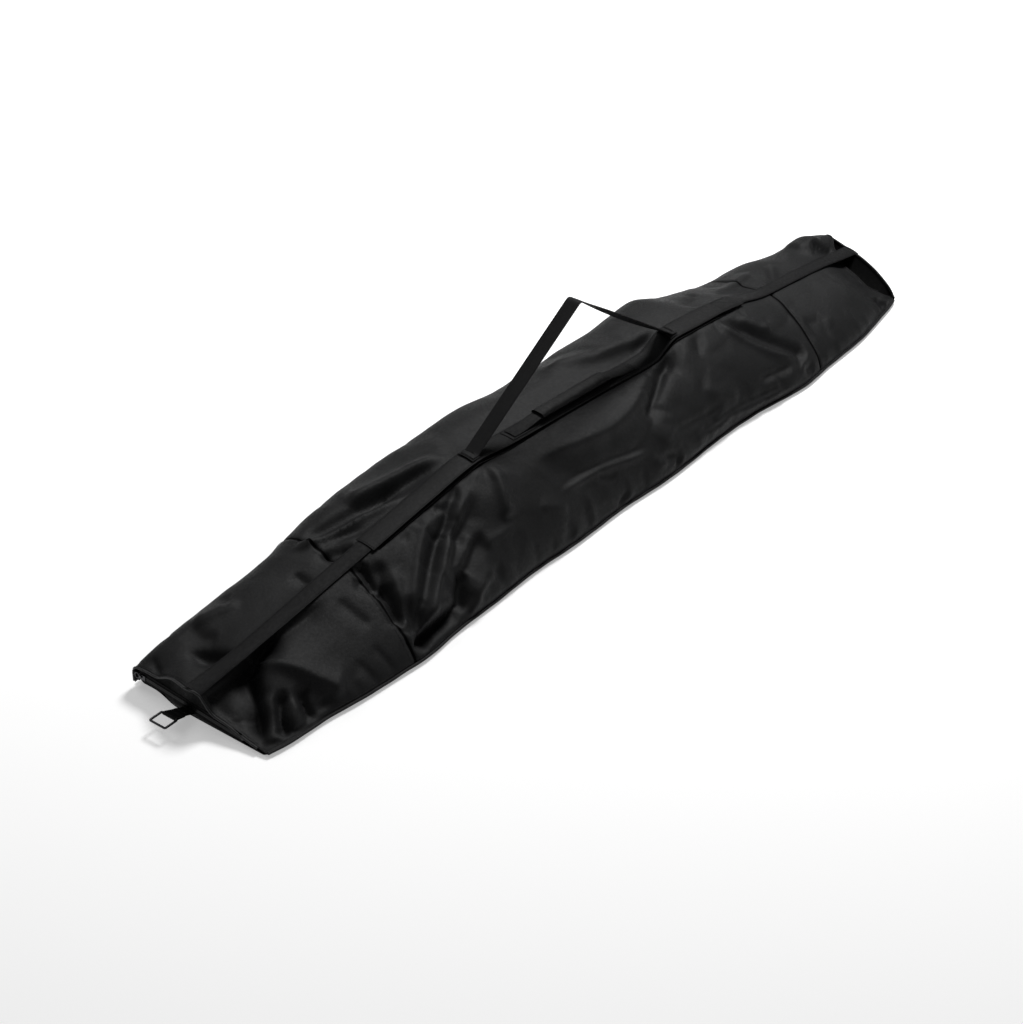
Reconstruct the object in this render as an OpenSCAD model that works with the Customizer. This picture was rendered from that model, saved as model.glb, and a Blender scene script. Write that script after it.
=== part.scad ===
// Long padless ski bag, lying on its base and filled as it is in use.
// +X runs along the bag from the mouth end to the toe end, +Y is the left side, +Z is up.
// The origin is the middle of the footprint, on the surface that the bag lies on.

/* [Bag] */
// Length of the fabric bag, end to end
bag_len = 1880; // [1800:10:1960]
// Half of the width at the base seam, in the middle of the bag
half_width = 172; // [160:1:182]
// How far each side wall swells out past its base seam
side_swell = 13; // [6:1:16]
// Height of the fabric sheets' solids
cloth_t = 1.6; // [1.2:0.1:2]

/* [Webbing] */
// Width of all the polyester webbing
web_w = 30; // [25:1:32]
// Thickness of the webbing
web_t = 1.8; // [1.4:0.1:2]
// Height of the carry strap's peak above the surface
strap_peak = 350; // [300:5:380]
// Width of the fabric placket that covers the main zip
placket_w = 40; // [38:1:44]

/* [Zips] */
// Width of each half of the zip coil
coil_w = 2.6; // [2.2:0.1:3]
// Thickness of the coil
coil_t = 2.2; // [2:0.1:2.4]
// Slider length along the zip
slider_len = 12; // [10:1:14]

/* [End loop] */
// Outer width of the rectangular metal loop
ring_w = 38; // [36:1:44]
// Outer length of the rectangular metal loop
ring_len = 31; // [26:1:34]
// Diameter of the loop's wire
ring_wire = 4; // [3:0.5:4.5]

/* [Hidden] */

gap = 0.4;              // clearance between pieces that are sewn edge to edge
tab_reach = 70;         // how far the metal loop reaches past the mouth end
hem = 1;                // how far the webbing wraps past the toe end
near_x = tab_reach - (bag_len + hem + tab_reach) / 2;
seam_near = 346;        // distances along the bag from the mouth end
seam_far = 1545;
anchor_near = 671;
anchor_far = 1245;
zip_run = [740, 1180];  // the straight stretch of the main zip, between the strap's anchors
end_cap = 3;            // how far the side panels stop short of each end

// Height of the webbing's top face along the bag, [distance, height]
RIDGE = [[0, 66], [60, 76], [200, 99], [346, 120], [400, 128], [430, 133], [540, 150], [671, 167],
         [740, 157], [1180, 127], [1245, 150], [1370, 139], [1440, 128], [1468, 124], [1545, 104],
         [1720, 82], [1880, 60]];
// Half width at the base seam as a share of half_width, on the left and on the right
PLAN_LEFT = [[0, 0.88], [200, 0.92], [346, 0.94], [600, 0.96], [1311, 0.96], [1460, 0.93],
             [1650, 0.88], [1760, 0.76], [1830, 0.68], [1880, 0.58]];
PLAN_RIGHT = [[0, 0.82], [60, 0.88], [200, 0.94], [346, 0.98], [500, 0.94], [671, 0.91],
              [1311, 0.92], [1400, 0.98], [1545, 0.98], [1700, 0.92], [1780, 0.86], [1830, 0.76],
              [1880, 0.6]];
SWELL = [[0, 0.2], [200, 0.6], [500, 1], [1400, 1], [1600, 0.7], [1880, 0.1]];

function ridge(s) = lookup(s, RIDGE);
function seam_y(s, side) = half_width * lookup(s, side > 0 ? PLAN_LEFT : PLAN_RIGHT);
function wall_y(s, side) = seam_y(s, side) + side_swell * lookup(s, SWELL);
function x_at(s) = near_x + s;

pipe_r = 3;
seam_z = 2 * pipe_r + 1 + gap;   // height of the side walls' lower edge
ridge_drop = web_t + gap;
zip_drop = 6;           // how far the zip lies under the placket's top face
zip_y = -12.5;          // the zip lies under the placket's right edge
// Where the right panel starts, and how far under the ridge: it makes room for the zip
RIGHT_EDGE = [[400, gap], [430, 21], [1440, 21], [1468, gap]];
RIGHT_DROP = [[400, ridge_drop], [430, zip_drop + gap], [1440, zip_drop + gap], [1468, ridge_drop]];
round_left = 3.2;       // how square the left shoulder is
round_right = 2.3;      // the right side slopes more
function squareness(side) = side > 0 ? round_left : round_right;

// One point of a side wall's outer face: t is 0 at the ridge and 1 at the base seam
wall_split = 0.8;
function wall_point(s, t, side, drop) =
  let (top = ridge(s) - drop, mid = 0.36 * top, a = wall_y(s, side), b = seam_y(s, side),
       n = 2 / squareness(side))
  t <= wall_split
    ? let (q = 90 * (1 - t / wall_split))
      [a * pow(max(cos(q), 0), n), mid + (top - mid) * pow(max(sin(q), 0), n)]
    : let (q = 90 * (t - wall_split) / (1 - wall_split))
      [b + (a - b) * cos(q), mid - (mid - seam_z) * sin(q)];

// Where on the wall, as t, the wall is y wide near the ridge
function edge_t(s, y, side) =
  wall_split * (1 - acos(pow(y / wall_y(s, side), squareness(side) / 2)) / 90);

function inward(p, before, after, depth) =
  let (d = after - before, n = [d[1], -d[0]] / norm(d)) p + n * depth;

// A wall's cross-section from the edge at y to the base seam, at a depth under its outer face
wall_steps = 12;
function wall_row(s, y, side, drop, depth) =
  let (t0 = y > 0 ? edge_t(s, y, side) : 0, step = (1 - t0) / wall_steps)
  [for (j = [0 : wall_steps])
    let (t = t0 + step * j,
         before = wall_point(s, max(t - 0.01, 0), side, drop),
         after = wall_point(s, min(t + 0.01, 1), side, drop))
    inward(wall_point(s, t, side, drop), before, after, depth)];

// Closes a grid of outer points and a grid of inner points into one solid sheet
module sheet(outer, inner) {
  rows = len(outer);
  cols = len(outer[0]);
  n = rows * cols;
  points = concat([for (r = outer) each r], [for (r = inner) each r]);
  function quad(a, b, c, d) = [[a, b, c], [a, c, d]];
  outside = [for (i = [0 : rows - 2]) for (j = [0 : cols - 2])
    each quad(i * cols + j, i * cols + j + 1, (i + 1) * cols + j + 1, (i + 1) * cols + j)];
  inside = [for (f = outside) [n + f[2], n + f[1], n + f[0]]];
  ends = [for (j = [0 : cols - 2]) for (i = [0, rows - 1])
    let (a = i * cols + j, b = a + 1)
    each (i == 0 ? quad(b, a, n + a, n + b) : quad(a, b, n + b, n + a))];
  edges = [for (i = [0 : rows - 2]) for (j = [0, cols - 1])
    let (a = i * cols + j, b = a + cols)
    each (j == 0 ? quad(a, b, n + b, n + a) : quad(b, a, n + a, n + b))];
  polyhedron(points, concat(outside, inside, ends, edges), convexity = 4);
}

// Distances along the bag between two ends: every station of the ridge, and steps between them
max_step = 60;
function stations(from, to) =
  concat([from], [for (p = RIDGE) if (p[0] > from + 1 && p[0] < to - 1) p[0]], [to]);
function fine_stations(from, to) =
  let (s = stations(from, to))
  concat([for (i = [0 : len(s) - 2])
    let (long = s[i + 1] - s[i], n = ceil(long / max_step))
    each [for (k = [0 : n - 1]) s[i] + long * k / n]], [to]);

// A side wall between two distances along the bag. side is 1 for left and -1 for right.
module wall(from, to, side, edges, drops, depth = 0, t = cloth_t) {
  function grid(deep) = [for (s = fine_stations(from, to))
    [for (p = wall_row(s, lookup(s, edges), side, lookup(s, drops), deep))
      [x_at(s), side * p[0], p[1]]]];
  if (side > 0) sheet(grid(depth + t), grid(depth));
  else sheet(grid(depth), grid(depth + t));
}

// A strip that follows the ridge: its top face is drop under the ridge
module ridge_strip(from, to, y, w, t, drop = 0) {
  s = stations(from, to);
  top = [for (d = s) [x_at(d), ridge(d) - drop]];
  low = [for (i = [len(s) - 1 : -1 : 0]) [x_at(s[i]), ridge(s[i]) - drop - t]];
  translate([0, y + w / 2, 0]) rotate([90, 0, 0]) linear_extrude(w) polygon(concat(top, low));
}

// Puts children on the ridge at a distance along the straight zip stretch, tilted with it
zip_slope = atan2(ridge(zip_run[1]) - ridge(zip_run[0]), zip_run[1] - zip_run[0]);
module on_zip(s) { translate([x_at(s), zip_y, ridge(s)]) rotate([0, -zip_slope, 0]) children(); }

// ---- Bag shell ----
plan_from = 8;          // the base seam's piping stops short of the ends
plan_to = bag_len - 18;
function plan_line(side, inset) = [for (i = [0 : 44])
  let (s = plan_from + (plan_to - plan_from) * i / 44) [x_at(s), side * (seam_y(s, side) - inset)]];
base_inset = 4.4;
module base_panel() color("#1b1c1e") {
  left = plan_line(1, base_inset);
  linear_extrude(cloth_t)
    polygon(concat(plan_line(-1, base_inset), [for (i = [44 : -1 : 0]) left[i]]));
}
full_edge = [[0, gap]];
full_drop = [[0, ridge_drop]];
module left_wall(from, to) wall(from, to, 1, full_edge, full_drop);
module left_panel_near() color("#26272a") left_wall(end_cap, seam_near - gap);
module left_panel_mid() color("#1f2022") left_wall(seam_near + gap, seam_far - gap);
module left_panel_far() color("#232427") left_wall(seam_far + gap, bag_len - end_cap);
module right_wall(from, to) wall(from, to, -1, RIGHT_EDGE, RIGHT_DROP);
module right_panel_near() color("#232427") right_wall(end_cap, seam_near - gap);
module right_panel_mid() color("#1f2022") right_wall(seam_near + gap, seam_far - gap);
module right_panel_far() color("#232427") right_wall(seam_far + gap, bag_len - end_cap);

// Woven tape that binds a cross seam on the inside
binding_w = 16;
binding_t = 0.8;
module seam_binding(s) {
  depth = cloth_t + gap;
  function half_row(d, side, deep) = wall_row(d, gap, side, ridge_drop, deep);
  function grid(deep) = [for (d = fine_stations(s - binding_w / 2, s + binding_w / 2))
    let (right = half_row(d, -1, deep), left = half_row(d, 1, deep))
    concat([for (j = [wall_steps : -1 : 0]) [x_at(d), -right[j][0], right[j][1]]],
           [for (p = left) [x_at(d), p[0], p[1]]])];
  sheet(grid(depth + binding_t), grid(depth));
}
module near_seam_binding() color("#151515") seam_binding(seam_near);
module far_seam_binding() color("#151515") seam_binding(seam_far);

// Outline of an end wall, from the base up to the ridge
wall_inset = 3;
function end_outline(s, low) =
  let (right = wall_row(s, 0, -1, ridge_drop, wall_inset),
       left = wall_row(s, 0, 1, ridge_drop, wall_inset))
  concat([for (j = [wall_steps : -1 : 0]) if (right[j][1] > low) [-right[j][0], right[j][1]]],
         [for (j = [1 : wall_steps]) if (left[j][1] > low) left[j]]);
wall_low = cloth_t + gap;       // the end walls start just over the base panel
module end_wall(s) translate([x_at(s), 0, 0]) rotate([90, 0, 90]) linear_extrude(cloth_t)
  polygon(concat(end_outline(s, wall_low), [[seam_y(s, 1) - 6, wall_low], [6 - seam_y(s, -1), wall_low]]));
module far_end_panel() color("#0b0b0c") end_wall(bag_len - end_cap + gap);

// ---- Mouth end: a band under the zip and a hood over it ----
mouth_zip = [[138, 28], [-88, 11]];   // the end zip's line, [y, z] at its left and right end
mouth_run = norm(mouth_zip[1] - mouth_zip[0]);
mouth_dir = (mouth_zip[1] - mouth_zip[0]) / mouth_run;
zip_plane = 0.4;                // the end zip's mid plane, as a distance from the mouth end
tape_w = 9;
tape_t = 0.8;
end_tape_w = 5;                 // the end zip's tapes show this much beside the coil
mouth_end = zip_plane + tape_t / 2 + 0.1;   // the end wall's outer face: the tapes lie on it
mouth_slot = 6;                 // half of the slot that the end wall leaves for the slider
// Frame of the end zip: X along the zip from its left end, Y up, Z outward from the bag
module on_mouth_zip(d)
  multmatrix([[0, 0, -1, x_at(zip_plane)],
              [mouth_dir[0], mouth_dir[1], 0, mouth_zip[0][0] + mouth_dir[0] * d],
              [mouth_dir[1], -mouth_dir[0], 0, mouth_zip[0][1] + mouth_dir[1] * d],
              [0, 0, 0, 1]]) children();
module zip_side(low, high)
  on_mouth_zip(0) translate([-100, low, -20]) cube([mouth_run + 200, high - low, 40]);
module near_end_hood() color("#1a1b1d") intersection() {
  end_wall(mouth_end);
  zip_side(mouth_slot, 200);
}
module near_end_band() color("#1a1b1d") intersection() {
  end_wall(mouth_end);
  zip_side(-200, -mouth_slot);
}

// ---- Piping ----
// A round cord swept through points, as rings of a few sides square to X or Y
module cord(points, r, sides = 8) {
  n = len(points);
  function ring(i) =
    let (a = points[max(i - 1, 0)], b = points[min(i + 1, n - 1)], d = (b - a) / norm(b - a),
         up = abs(d[2]) > 0.9 ? [1, 0, 0] : [0, 0, 1], u = cross(d, up) / norm(cross(d, up)),
         v = cross(d, u))
    [for (k = [0 : sides - 1]) points[i] + r * (u * cos(360 * k / sides) + v * sin(360 * k / sides))];
  rings = [for (i = [0 : n - 1]) each ring(i)];
  walls = [for (i = [0 : n - 2]) for (k = [0 : sides - 1])
    let (a = i * sides + k, b = i * sides + (k + 1) % sides, c = a + sides, d = b + sides)
    each [[a, b, d], [a, d, c]]];
  caps = [[for (k = [sides - 1 : -1 : 0]) k], [for (k = [0 : sides - 1]) (n - 1) * sides + k]];
  polyhedron(rings, concat(walls, caps), convexity = 6);
}
module side_piping(side)
  cord([for (p = plan_line(side, -1)) [p[0], p[1], pipe_r + 1]], pipe_r);
module left_piping() color("#101010") side_piping(1);
module right_piping() color("#101010") side_piping(-1);
lip_r = 1.8;
module near_lip_piping() color("#2c2d30") {
  right = wall_row(0, 0, -1, ridge_drop, lip_r);
  left = wall_row(0, 0, 1, ridge_drop, lip_r);
  x = x_at(-lip_r);
  cord(concat([for (j = [10 : -1 : 0]) [x, -right[j][0], right[j][1]]],
              [for (j = [1 : 8]) [x, left[j][0], left[j][1]]]), lip_r);
}

// ---- Webbing and placket along the top ----
placket_end = 396;      // where the placket starts, past the near cross seam
placket_stop = 1470;
web_under = 0.2;
module spine_webbing_near() color("#19191a") ridge_strip(5, placket_end - gap, 0, web_w, web_t);
module spine_webbing_far() color("#19191a") {
  ridge_strip(placket_stop + gap, bag_len + hem, 0, web_w, web_t);
  wrap_low = 20;
  translate([x_at(bag_len + hem) - web_t, -web_w / 2, wrap_low])
    cube([web_t, web_w, ridge(bag_len) - wrap_low - web_t / 2]);
}
module placket(from, to) ridge_strip(from, to, 0, placket_w, cloth_t);
anchor_half = 9;        // half the length that each strap anchor takes
module placket_near() color("#202123") placket(placket_end, anchor_near - anchor_half);
module placket_mid() color("#202123")
  placket(anchor_near + anchor_half, anchor_far - anchor_half);
module placket_far() color("#202123") placket(anchor_far + anchor_half, placket_stop);

// ---- Carry strap ----
axis_lift = 10;         // height of the strap's swing axis over the ridge
module anchor(s) ridge_strip(s - anchor_half + gap, s + anchor_half - gap, 0, web_w + 4, web_t);
module strap_anchor_near() color("#161617") anchor(anchor_near);
module strap_anchor_far() color("#161617") anchor(anchor_far);
tack = [2, web_w - 4, 0.8];
module bar_tacks() color("#0d0d0d")
  for (s = [anchor_near, anchor_far]) for (d = [-6, 6])
    ridge_strip(s + d - tack[0] / 2, s + d + tack[0] / 2, 0, tack[1], tack[2], -tack[2] - 0.05);

strap_foot = 17;        // how far from each anchor the free strap starts
peak_s = 960;
strap_a = [x_at(anchor_near), ridge(anchor_near) + axis_lift];
strap_b = [x_at(anchor_far), ridge(anchor_far) + axis_lift];
peak = [x_at(peak_s), strap_peak];
bend_r = 26;            // radius of the strap's bend at its peak
lap = 0.5;              // how far the straight legs run into the bend
// A leg of the strap, from its foot to the bend, as a tapered flat band
module strap_leg(from, to) {
  d = to - from;
  long = norm(d) + lap;
  wide = strap_foot + 34;
  translate([from[0], 0, from[1]]) rotate([0, -atan2(d[1], d[0]), 0])
    translate([0, 0, -web_t / 2]) linear_extrude(web_t)
      polygon([[strap_foot, -5], [wide, -web_w / 2], [long, -web_w / 2],
               [long, web_w / 2], [wide, web_w / 2], [strap_foot, 5]]);
}
function toward(a, b, d) = a + (b - a) * d / norm(b - a);
rise_in = (peak - strap_a) / norm(peak - strap_a);
rise_out = (strap_b - peak) / norm(strap_b - peak);
turn = acos(rise_in * rise_out);
bend_cut = bend_r * tan(turn / 2);
knee_a = toward(peak, strap_a, bend_cut);
knee_b = toward(peak, strap_b, bend_cut);
bend_centre = knee_a + bend_r * [rise_in[1], -rise_in[0]];
bend_start = atan2(knee_a[1] - bend_centre[1], knee_a[0] - bend_centre[0]);
function bend_arc(r, angles) = [for (q = angles) bend_centre + r * [cos(q), sin(q)]];
module strap_bend() translate([0, web_w / 2, 0]) rotate([90, 0, 0]) linear_extrude(web_w) {
  down = [for (i = [0 : 12]) bend_start - turn * i / 12];
  back = [for (i = [12 : -1 : 0]) bend_start - turn * i / 12];
  polygon(concat(bend_arc(bend_r + web_t / 2, down), bend_arc(bend_r - web_t / 2, back)));
}
module carry_strap() color("#19191a") {
  strap_leg(strap_a, knee_a);
  strap_leg(strap_b, knee_b);
  strap_bend();
}

// ---- Grab handle: sewn down at both ends, with a folded sleeve on its free middle ----
grab = [770, 1137];     // the sewn ends, as distances along the bag
grab_free = [800, 1107];
sleeve = [856, 1050];
grab_gap = 0.6;
grab_y = -1;
module over_placket(from, to, w, t, lift) ridge_strip(from, to, grab_y, w, t, -(lift + t));
module grab_handle_base() color("#18181a") {
  folded = 2 * web_t + 0.1;
  over_placket(grab[0], grab_free[0] - gap, web_w, folded, 0.3);
  over_placket(grab_free[1] + gap, grab[1], web_w, folded, 0.3);
}
module grab_handle_webbing() color("#18181a") {
  lift = grab_gap + 1.6;
  over_placket(grab_free[0], grab_free[1], web_w - 6, web_t, lift);
}
sleeve_wall = 1.4;
module grab_handle_sleeve() color("#242528") {
  low = grab_gap + 1.6 - sleeve_wall - 0.1;
  high = web_t + 2 * sleeve_wall + 0.2 + low;
  difference() {
    over_placket(sleeve[0], sleeve[1], web_w - 2, high - low, low);
    over_placket(sleeve[0] - 5, sleeve[1] + 5, web_w - 5.6, web_t + 0.2, low + sleeve_wall);
  }
}

// ---- Main zip, under the placket ----
main_zip = [436, 1434];
split = 0.4;            // half of the slot between the two coils, where the slider's wedge runs
module zip_strip(y, w, t, middle) ridge_strip(main_zip[0], main_zip[1], y, w, t, middle - t / 2);
coil_out = split + coil_w;
module main_zip_tape_left() color("#121213")
  zip_strip(zip_y + coil_out + tape_w / 2, tape_w, tape_t, zip_drop);
module main_zip_tape_right() color("#121213")
  zip_strip(zip_y - coil_out - tape_w / 2 + 1.5, tape_w - 3, tape_t, zip_drop);
module main_zip_coil_left() color("#0e0e0e")
  zip_strip(zip_y + split + coil_w / 2, coil_w, coil_t, zip_drop);
module main_zip_coil_right() color("#0e0e0e")
  zip_strip(zip_y - split - coil_w / 2, coil_w, coil_t, zip_drop);
module main_zip_stops() color("#3a3a3c") for (s = [main_zip[0] - 4, main_zip[1]])
  ridge_strip(s, s + 4, zip_y, 2 * coil_out, coil_t, zip_drop - coil_t / 2);

// A zip slider in its own frame: travel along X, the zip's mid plane at Z 0, the puller's post on +Z
slider_w = 9.4;
plate_t = 1;
plate_gap = 0.3;
post_r = 1.2;
module slider(post_h) {
  half = coil_t / 2 + plate_gap;
  for (side = [-1, 1]) {
    translate([0, 0, side * (half + plate_t / 2)]) plate();
    for (y = [-1, 1]) translate([0, y * (slider_w / 2 - 0.45), side * (half - 0.3)])
      cube([slider_len, 0.9, 0.62], center = true);
  }
  cube([5, 0.44, 2 * half + 0.2], center = true);
  translate([-slider_len / 2 + 3, 0, half + plate_t - 0.1]) cylinder(r = post_r, h = post_h + 0.1, $fn = 32);
}
module plate() linear_extrude(plate_t, center = true)
  polygon([[-slider_len / 2, -3.6], [-1, -slider_w / 2], [slider_len / 2, -slider_w / 2],
           [slider_len / 2, slider_w / 2], [-1, slider_w / 2], [-slider_len / 2, 3.6]]);
slider_s = 1164;        // the slider's place at rest, zip closed
post_x = -slider_len / 2 + 3;
post_top = coil_t / 2 + plate_gap + plate_t;
module main_zip_slider() color("#3c3d40") on_zip(slider_s) translate([0, 0, -zip_drop]) slider(1.5);
puller_t = 1.2;
module main_zip_puller() color("#141415")
  on_zip(slider_s) translate([post_x, 0, -zip_drop + post_top + 0.1]) difference() {
    union() {
      cylinder(r = 3, h = puller_t, $fn = 32);
      translate([-30, -2.2, 0]) cube([28, 4.4, puller_t]);
      translate([-30, 0, 0]) cylinder(r = 2.2, h = puller_t, $fn = 24);
    }
    translate([0, 0, -1]) cylinder(r = post_r + 0.3, h = puller_t + 2, $fn = 32);
  }

// ---- End zip, across the mouth ----
module end_strip(y, w, t) on_mouth_zip(0) translate([0, y - w / 2, -t / 2]) cube([mouth_run, w, t]);
module end_zip_tape_upper() color("#121213")
  end_strip(coil_out + end_tape_w / 2, end_tape_w, tape_t);
module end_zip_tape_lower() color("#121213")
  end_strip(-coil_out - end_tape_w / 2, end_tape_w, tape_t);
module end_zip_coil_upper() color("#2a2b2d") end_strip(split + coil_w / 2, coil_w, coil_t);
module end_zip_coil_lower() color("#2a2b2d") end_strip(-split - coil_w / 2, coil_w, coil_t);
module end_zip_stops() color("#3a3a3c") for (d = [-3, mouth_run])
  on_mouth_zip(d) translate([0, -coil_out, -coil_t / 2]) cube([3, 2 * coil_out, coil_t]);
end_slider_d = 8;
module end_zip_slider() color("#3c3d40") on_mouth_zip(end_slider_d) slider(2.2);
ring_r = 5;
ring_tube = 0.9;
module end_zip_ring() color("#2f3032")
  on_mouth_zip(end_slider_d) translate([post_x, 0, post_top + 1.05]) {
    difference() {
      cylinder(r = post_r + 1.5, h = 1.8, center = true, $fn = 32);
      cylinder(r = post_r + 0.3, h = 4, center = true, $fn = 32);
    }
    translate([-ring_r - post_r - 1, 0, 0]) rotate_extrude($fn = 48)
      translate([ring_r, 0]) circle(r = ring_tube, $fn = 16);
  }

// ---- Webbing tab and metal loop at the mouth end ----
tab_y = 30;
tab_z = 10;
tab_w = 29;
tab_root = 3;           // the tab bends on a line this far out from the mouth
tab_arm = 40;           // from that line to the loop's inner bar
tab_rise = 18;          // degrees that the tab stands up at rest
bar_out = tab_root + tab_arm * cos(tab_rise);
bar_z = tab_z + tab_arm * sin(tab_rise);
eye_in = ring_wire / 2 + 0.3;
eye_out = eye_in + 1.5;
module at_bar() translate([x_at(-bar_out), tab_y, bar_z]) children();
module end_tab() color("#19191a") at_bar() rotate([90, tab_rise, 0]) difference() {
  union() {
    cylinder(r = eye_out, h = tab_w, center = true, $fn = 40);
    translate([0, -1.6, -tab_w / 2]) cube([tab_arm + 1.5, 3.2, tab_w]);
  }
  cylinder(r = eye_in, h = tab_w + 2, center = true, $fn = 40);
}
loop_bend = 2.4;        // radius of the loop's corners, at the middle of the wire
loop_x = ring_len - ring_wire;
loop_y = (ring_w - ring_wire) / 2;
module wire_along_y(x) translate([x, 0, 0]) rotate([90, 0, 0])
  cylinder(d = ring_wire, h = 2 * (loop_y - loop_bend), center = true, $fn = 32);
module wire_along_x(y) translate([loop_bend - loop_x, y, 0]) rotate([0, 90, 0])
  cylinder(d = ring_wire, h = loop_x - 2 * loop_bend, $fn = 32);
module wire_corner(x, y, from) translate([x, y, 0]) rotate([0, 0, from])
  rotate_extrude(angle = 90, $fn = 64) translate([loop_bend, 0]) circle(d = ring_wire, $fn = 32);
module end_loop() color("#b9bbbe") at_bar() {
  wire_along_y(0);
  wire_along_y(-loop_x);
  wire_along_x(loop_y);
  wire_along_x(-loop_y);
  wire_corner(-loop_bend, loop_y - loop_bend, 0);
  wire_corner(loop_bend - loop_x, loop_y - loop_bend, 90);
  wire_corner(loop_bend - loop_x, loop_bend - loop_y, 180);
  wire_corner(-loop_bend, loop_bend - loop_y, 270);
}

base_panel();
near_end_band();
near_end_hood();
far_end_panel();
left_panel_near();
left_panel_mid();
left_panel_far();
right_panel_near();
right_panel_mid();
right_panel_far();
near_seam_binding();
far_seam_binding();
left_piping();
right_piping();
near_lip_piping();
spine_webbing_near();
spine_webbing_far();
placket_near();
placket_mid();
placket_far();
strap_anchor_near();
strap_anchor_far();
bar_tacks();
carry_strap();
grab_handle_base();
grab_handle_webbing();
grab_handle_sleeve();
main_zip_tape_left();
main_zip_tape_right();
main_zip_coil_left();
main_zip_coil_right();
main_zip_stops();
main_zip_slider();
main_zip_puller();
end_zip_tape_upper();
end_zip_tape_lower();
end_zip_coil_upper();
end_zip_coil_lower();
end_zip_stops();
end_zip_slider();
end_zip_ring();
end_tab();
end_loop();
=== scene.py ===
"""The looks of a long soft ski bag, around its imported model. Shapes are worked out in millimetres."""

import math

import bpy
import numpy as np
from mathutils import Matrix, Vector


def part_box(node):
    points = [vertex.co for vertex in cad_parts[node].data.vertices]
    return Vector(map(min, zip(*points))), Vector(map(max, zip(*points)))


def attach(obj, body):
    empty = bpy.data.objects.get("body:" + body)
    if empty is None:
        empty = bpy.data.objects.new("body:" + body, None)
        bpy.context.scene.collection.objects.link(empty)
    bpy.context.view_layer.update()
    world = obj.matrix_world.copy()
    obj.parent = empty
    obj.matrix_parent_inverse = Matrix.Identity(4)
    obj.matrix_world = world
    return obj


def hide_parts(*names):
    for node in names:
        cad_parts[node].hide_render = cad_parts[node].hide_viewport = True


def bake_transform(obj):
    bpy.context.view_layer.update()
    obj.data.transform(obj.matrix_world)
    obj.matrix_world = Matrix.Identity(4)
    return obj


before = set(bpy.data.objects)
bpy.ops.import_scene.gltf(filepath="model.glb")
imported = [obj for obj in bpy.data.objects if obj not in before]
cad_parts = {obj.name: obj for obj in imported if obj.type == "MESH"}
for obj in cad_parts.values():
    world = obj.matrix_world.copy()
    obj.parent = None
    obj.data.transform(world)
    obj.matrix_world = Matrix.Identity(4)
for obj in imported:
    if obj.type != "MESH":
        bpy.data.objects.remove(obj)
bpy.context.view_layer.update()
MM = 0.001
NEAR_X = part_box("base_panel")[0].x / MM - 8.0      # the mouth end's X, in millimetres


# ---- Camera, light and floor ----
def look_at(obj, place, target):
    obj.location = place
    obj.rotation_mode = "QUATERNION"
    obj.rotation_quaternion = (Vector(target) - Vector(place)).to_track_quat("-Z", "Y")


def make_camera():
    azimuth, elevation, distance = math.radians(-50.98), math.radians(34.04), 4.883
    target = Vector((-0.1298, -0.0068, 0.0))
    back = Vector((math.sin(azimuth) * math.cos(elevation),
                   -math.cos(azimuth) * math.cos(elevation), math.sin(elevation)))
    data = bpy.data.cameras.new("camera")
    data.lens, data.sensor_width = 96.68, 36.0
    data.clip_start, data.clip_end = 0.05, 60
    cam = bpy.data.objects.new("camera", data)
    bpy.context.scene.collection.objects.link(cam)
    look_at(cam, target + back * distance, target)
    bpy.context.scene.camera = cam


def area_light(name, place, target, size, power):
    data = bpy.data.lights.new(name, "AREA")
    data.shape, data.size, data.energy = "DISK", size, power
    light = bpy.data.objects.new(name, data)
    bpy.context.scene.collection.objects.link(light)
    look_at(light, place, target)


def new_material(name):
    mat = bpy.data.materials.new(name)
    mat.use_nodes = True
    mat.node_tree.nodes.clear()
    out = mat.node_tree.nodes.new("ShaderNodeOutputMaterial")
    shader = mat.node_tree.nodes.new("ShaderNodeBsdfPrincipled")
    mat.node_tree.links.new(shader.outputs[0], out.inputs[0])
    return mat, shader


def make_stage():
    mat, shader = new_material("floor_white")
    shader.inputs["Base Color"].default_value = (0.93, 0.93, 0.93, 1)
    shader.inputs["Roughness"].default_value = 0.9
    shader.inputs["Specular IOR Level"].default_value = 0.0
    shader.inputs["Emission Color"].default_value = (1, 1, 1, 1)
    shader.inputs["Emission Strength"].default_value = 0.36
    mesh = bpy.data.meshes.new("floor")
    half = 9
    mesh.from_pydata([(-half, -half, 0), (half, -half, 0), (half, half, 0), (-half, half, 0)], [],
                     [(0, 1, 2, 3)])
    floor = bpy.data.objects.new("floor", mesh)
    bpy.context.scene.collection.objects.link(floor)
    mesh.materials.append(mat)
    world = bpy.data.worlds.new("world")
    bpy.context.scene.world = world
    world.use_nodes = True
    world.node_tree.nodes["Background"].inputs[0].default_value = (1, 1, 1, 1)
    world.node_tree.nodes["Background"].inputs[1].default_value = 0.1
    area_light("key", (2.0, 0.6, 3.0), (0.1, 0, 0.05), 1.3, 124)
    area_light("fill", (-0.6, 2.4, 2.6), (0, 0, 0.05), 2.4, 22)
    bpy.context.scene.view_settings.view_transform = "Standard"


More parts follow.
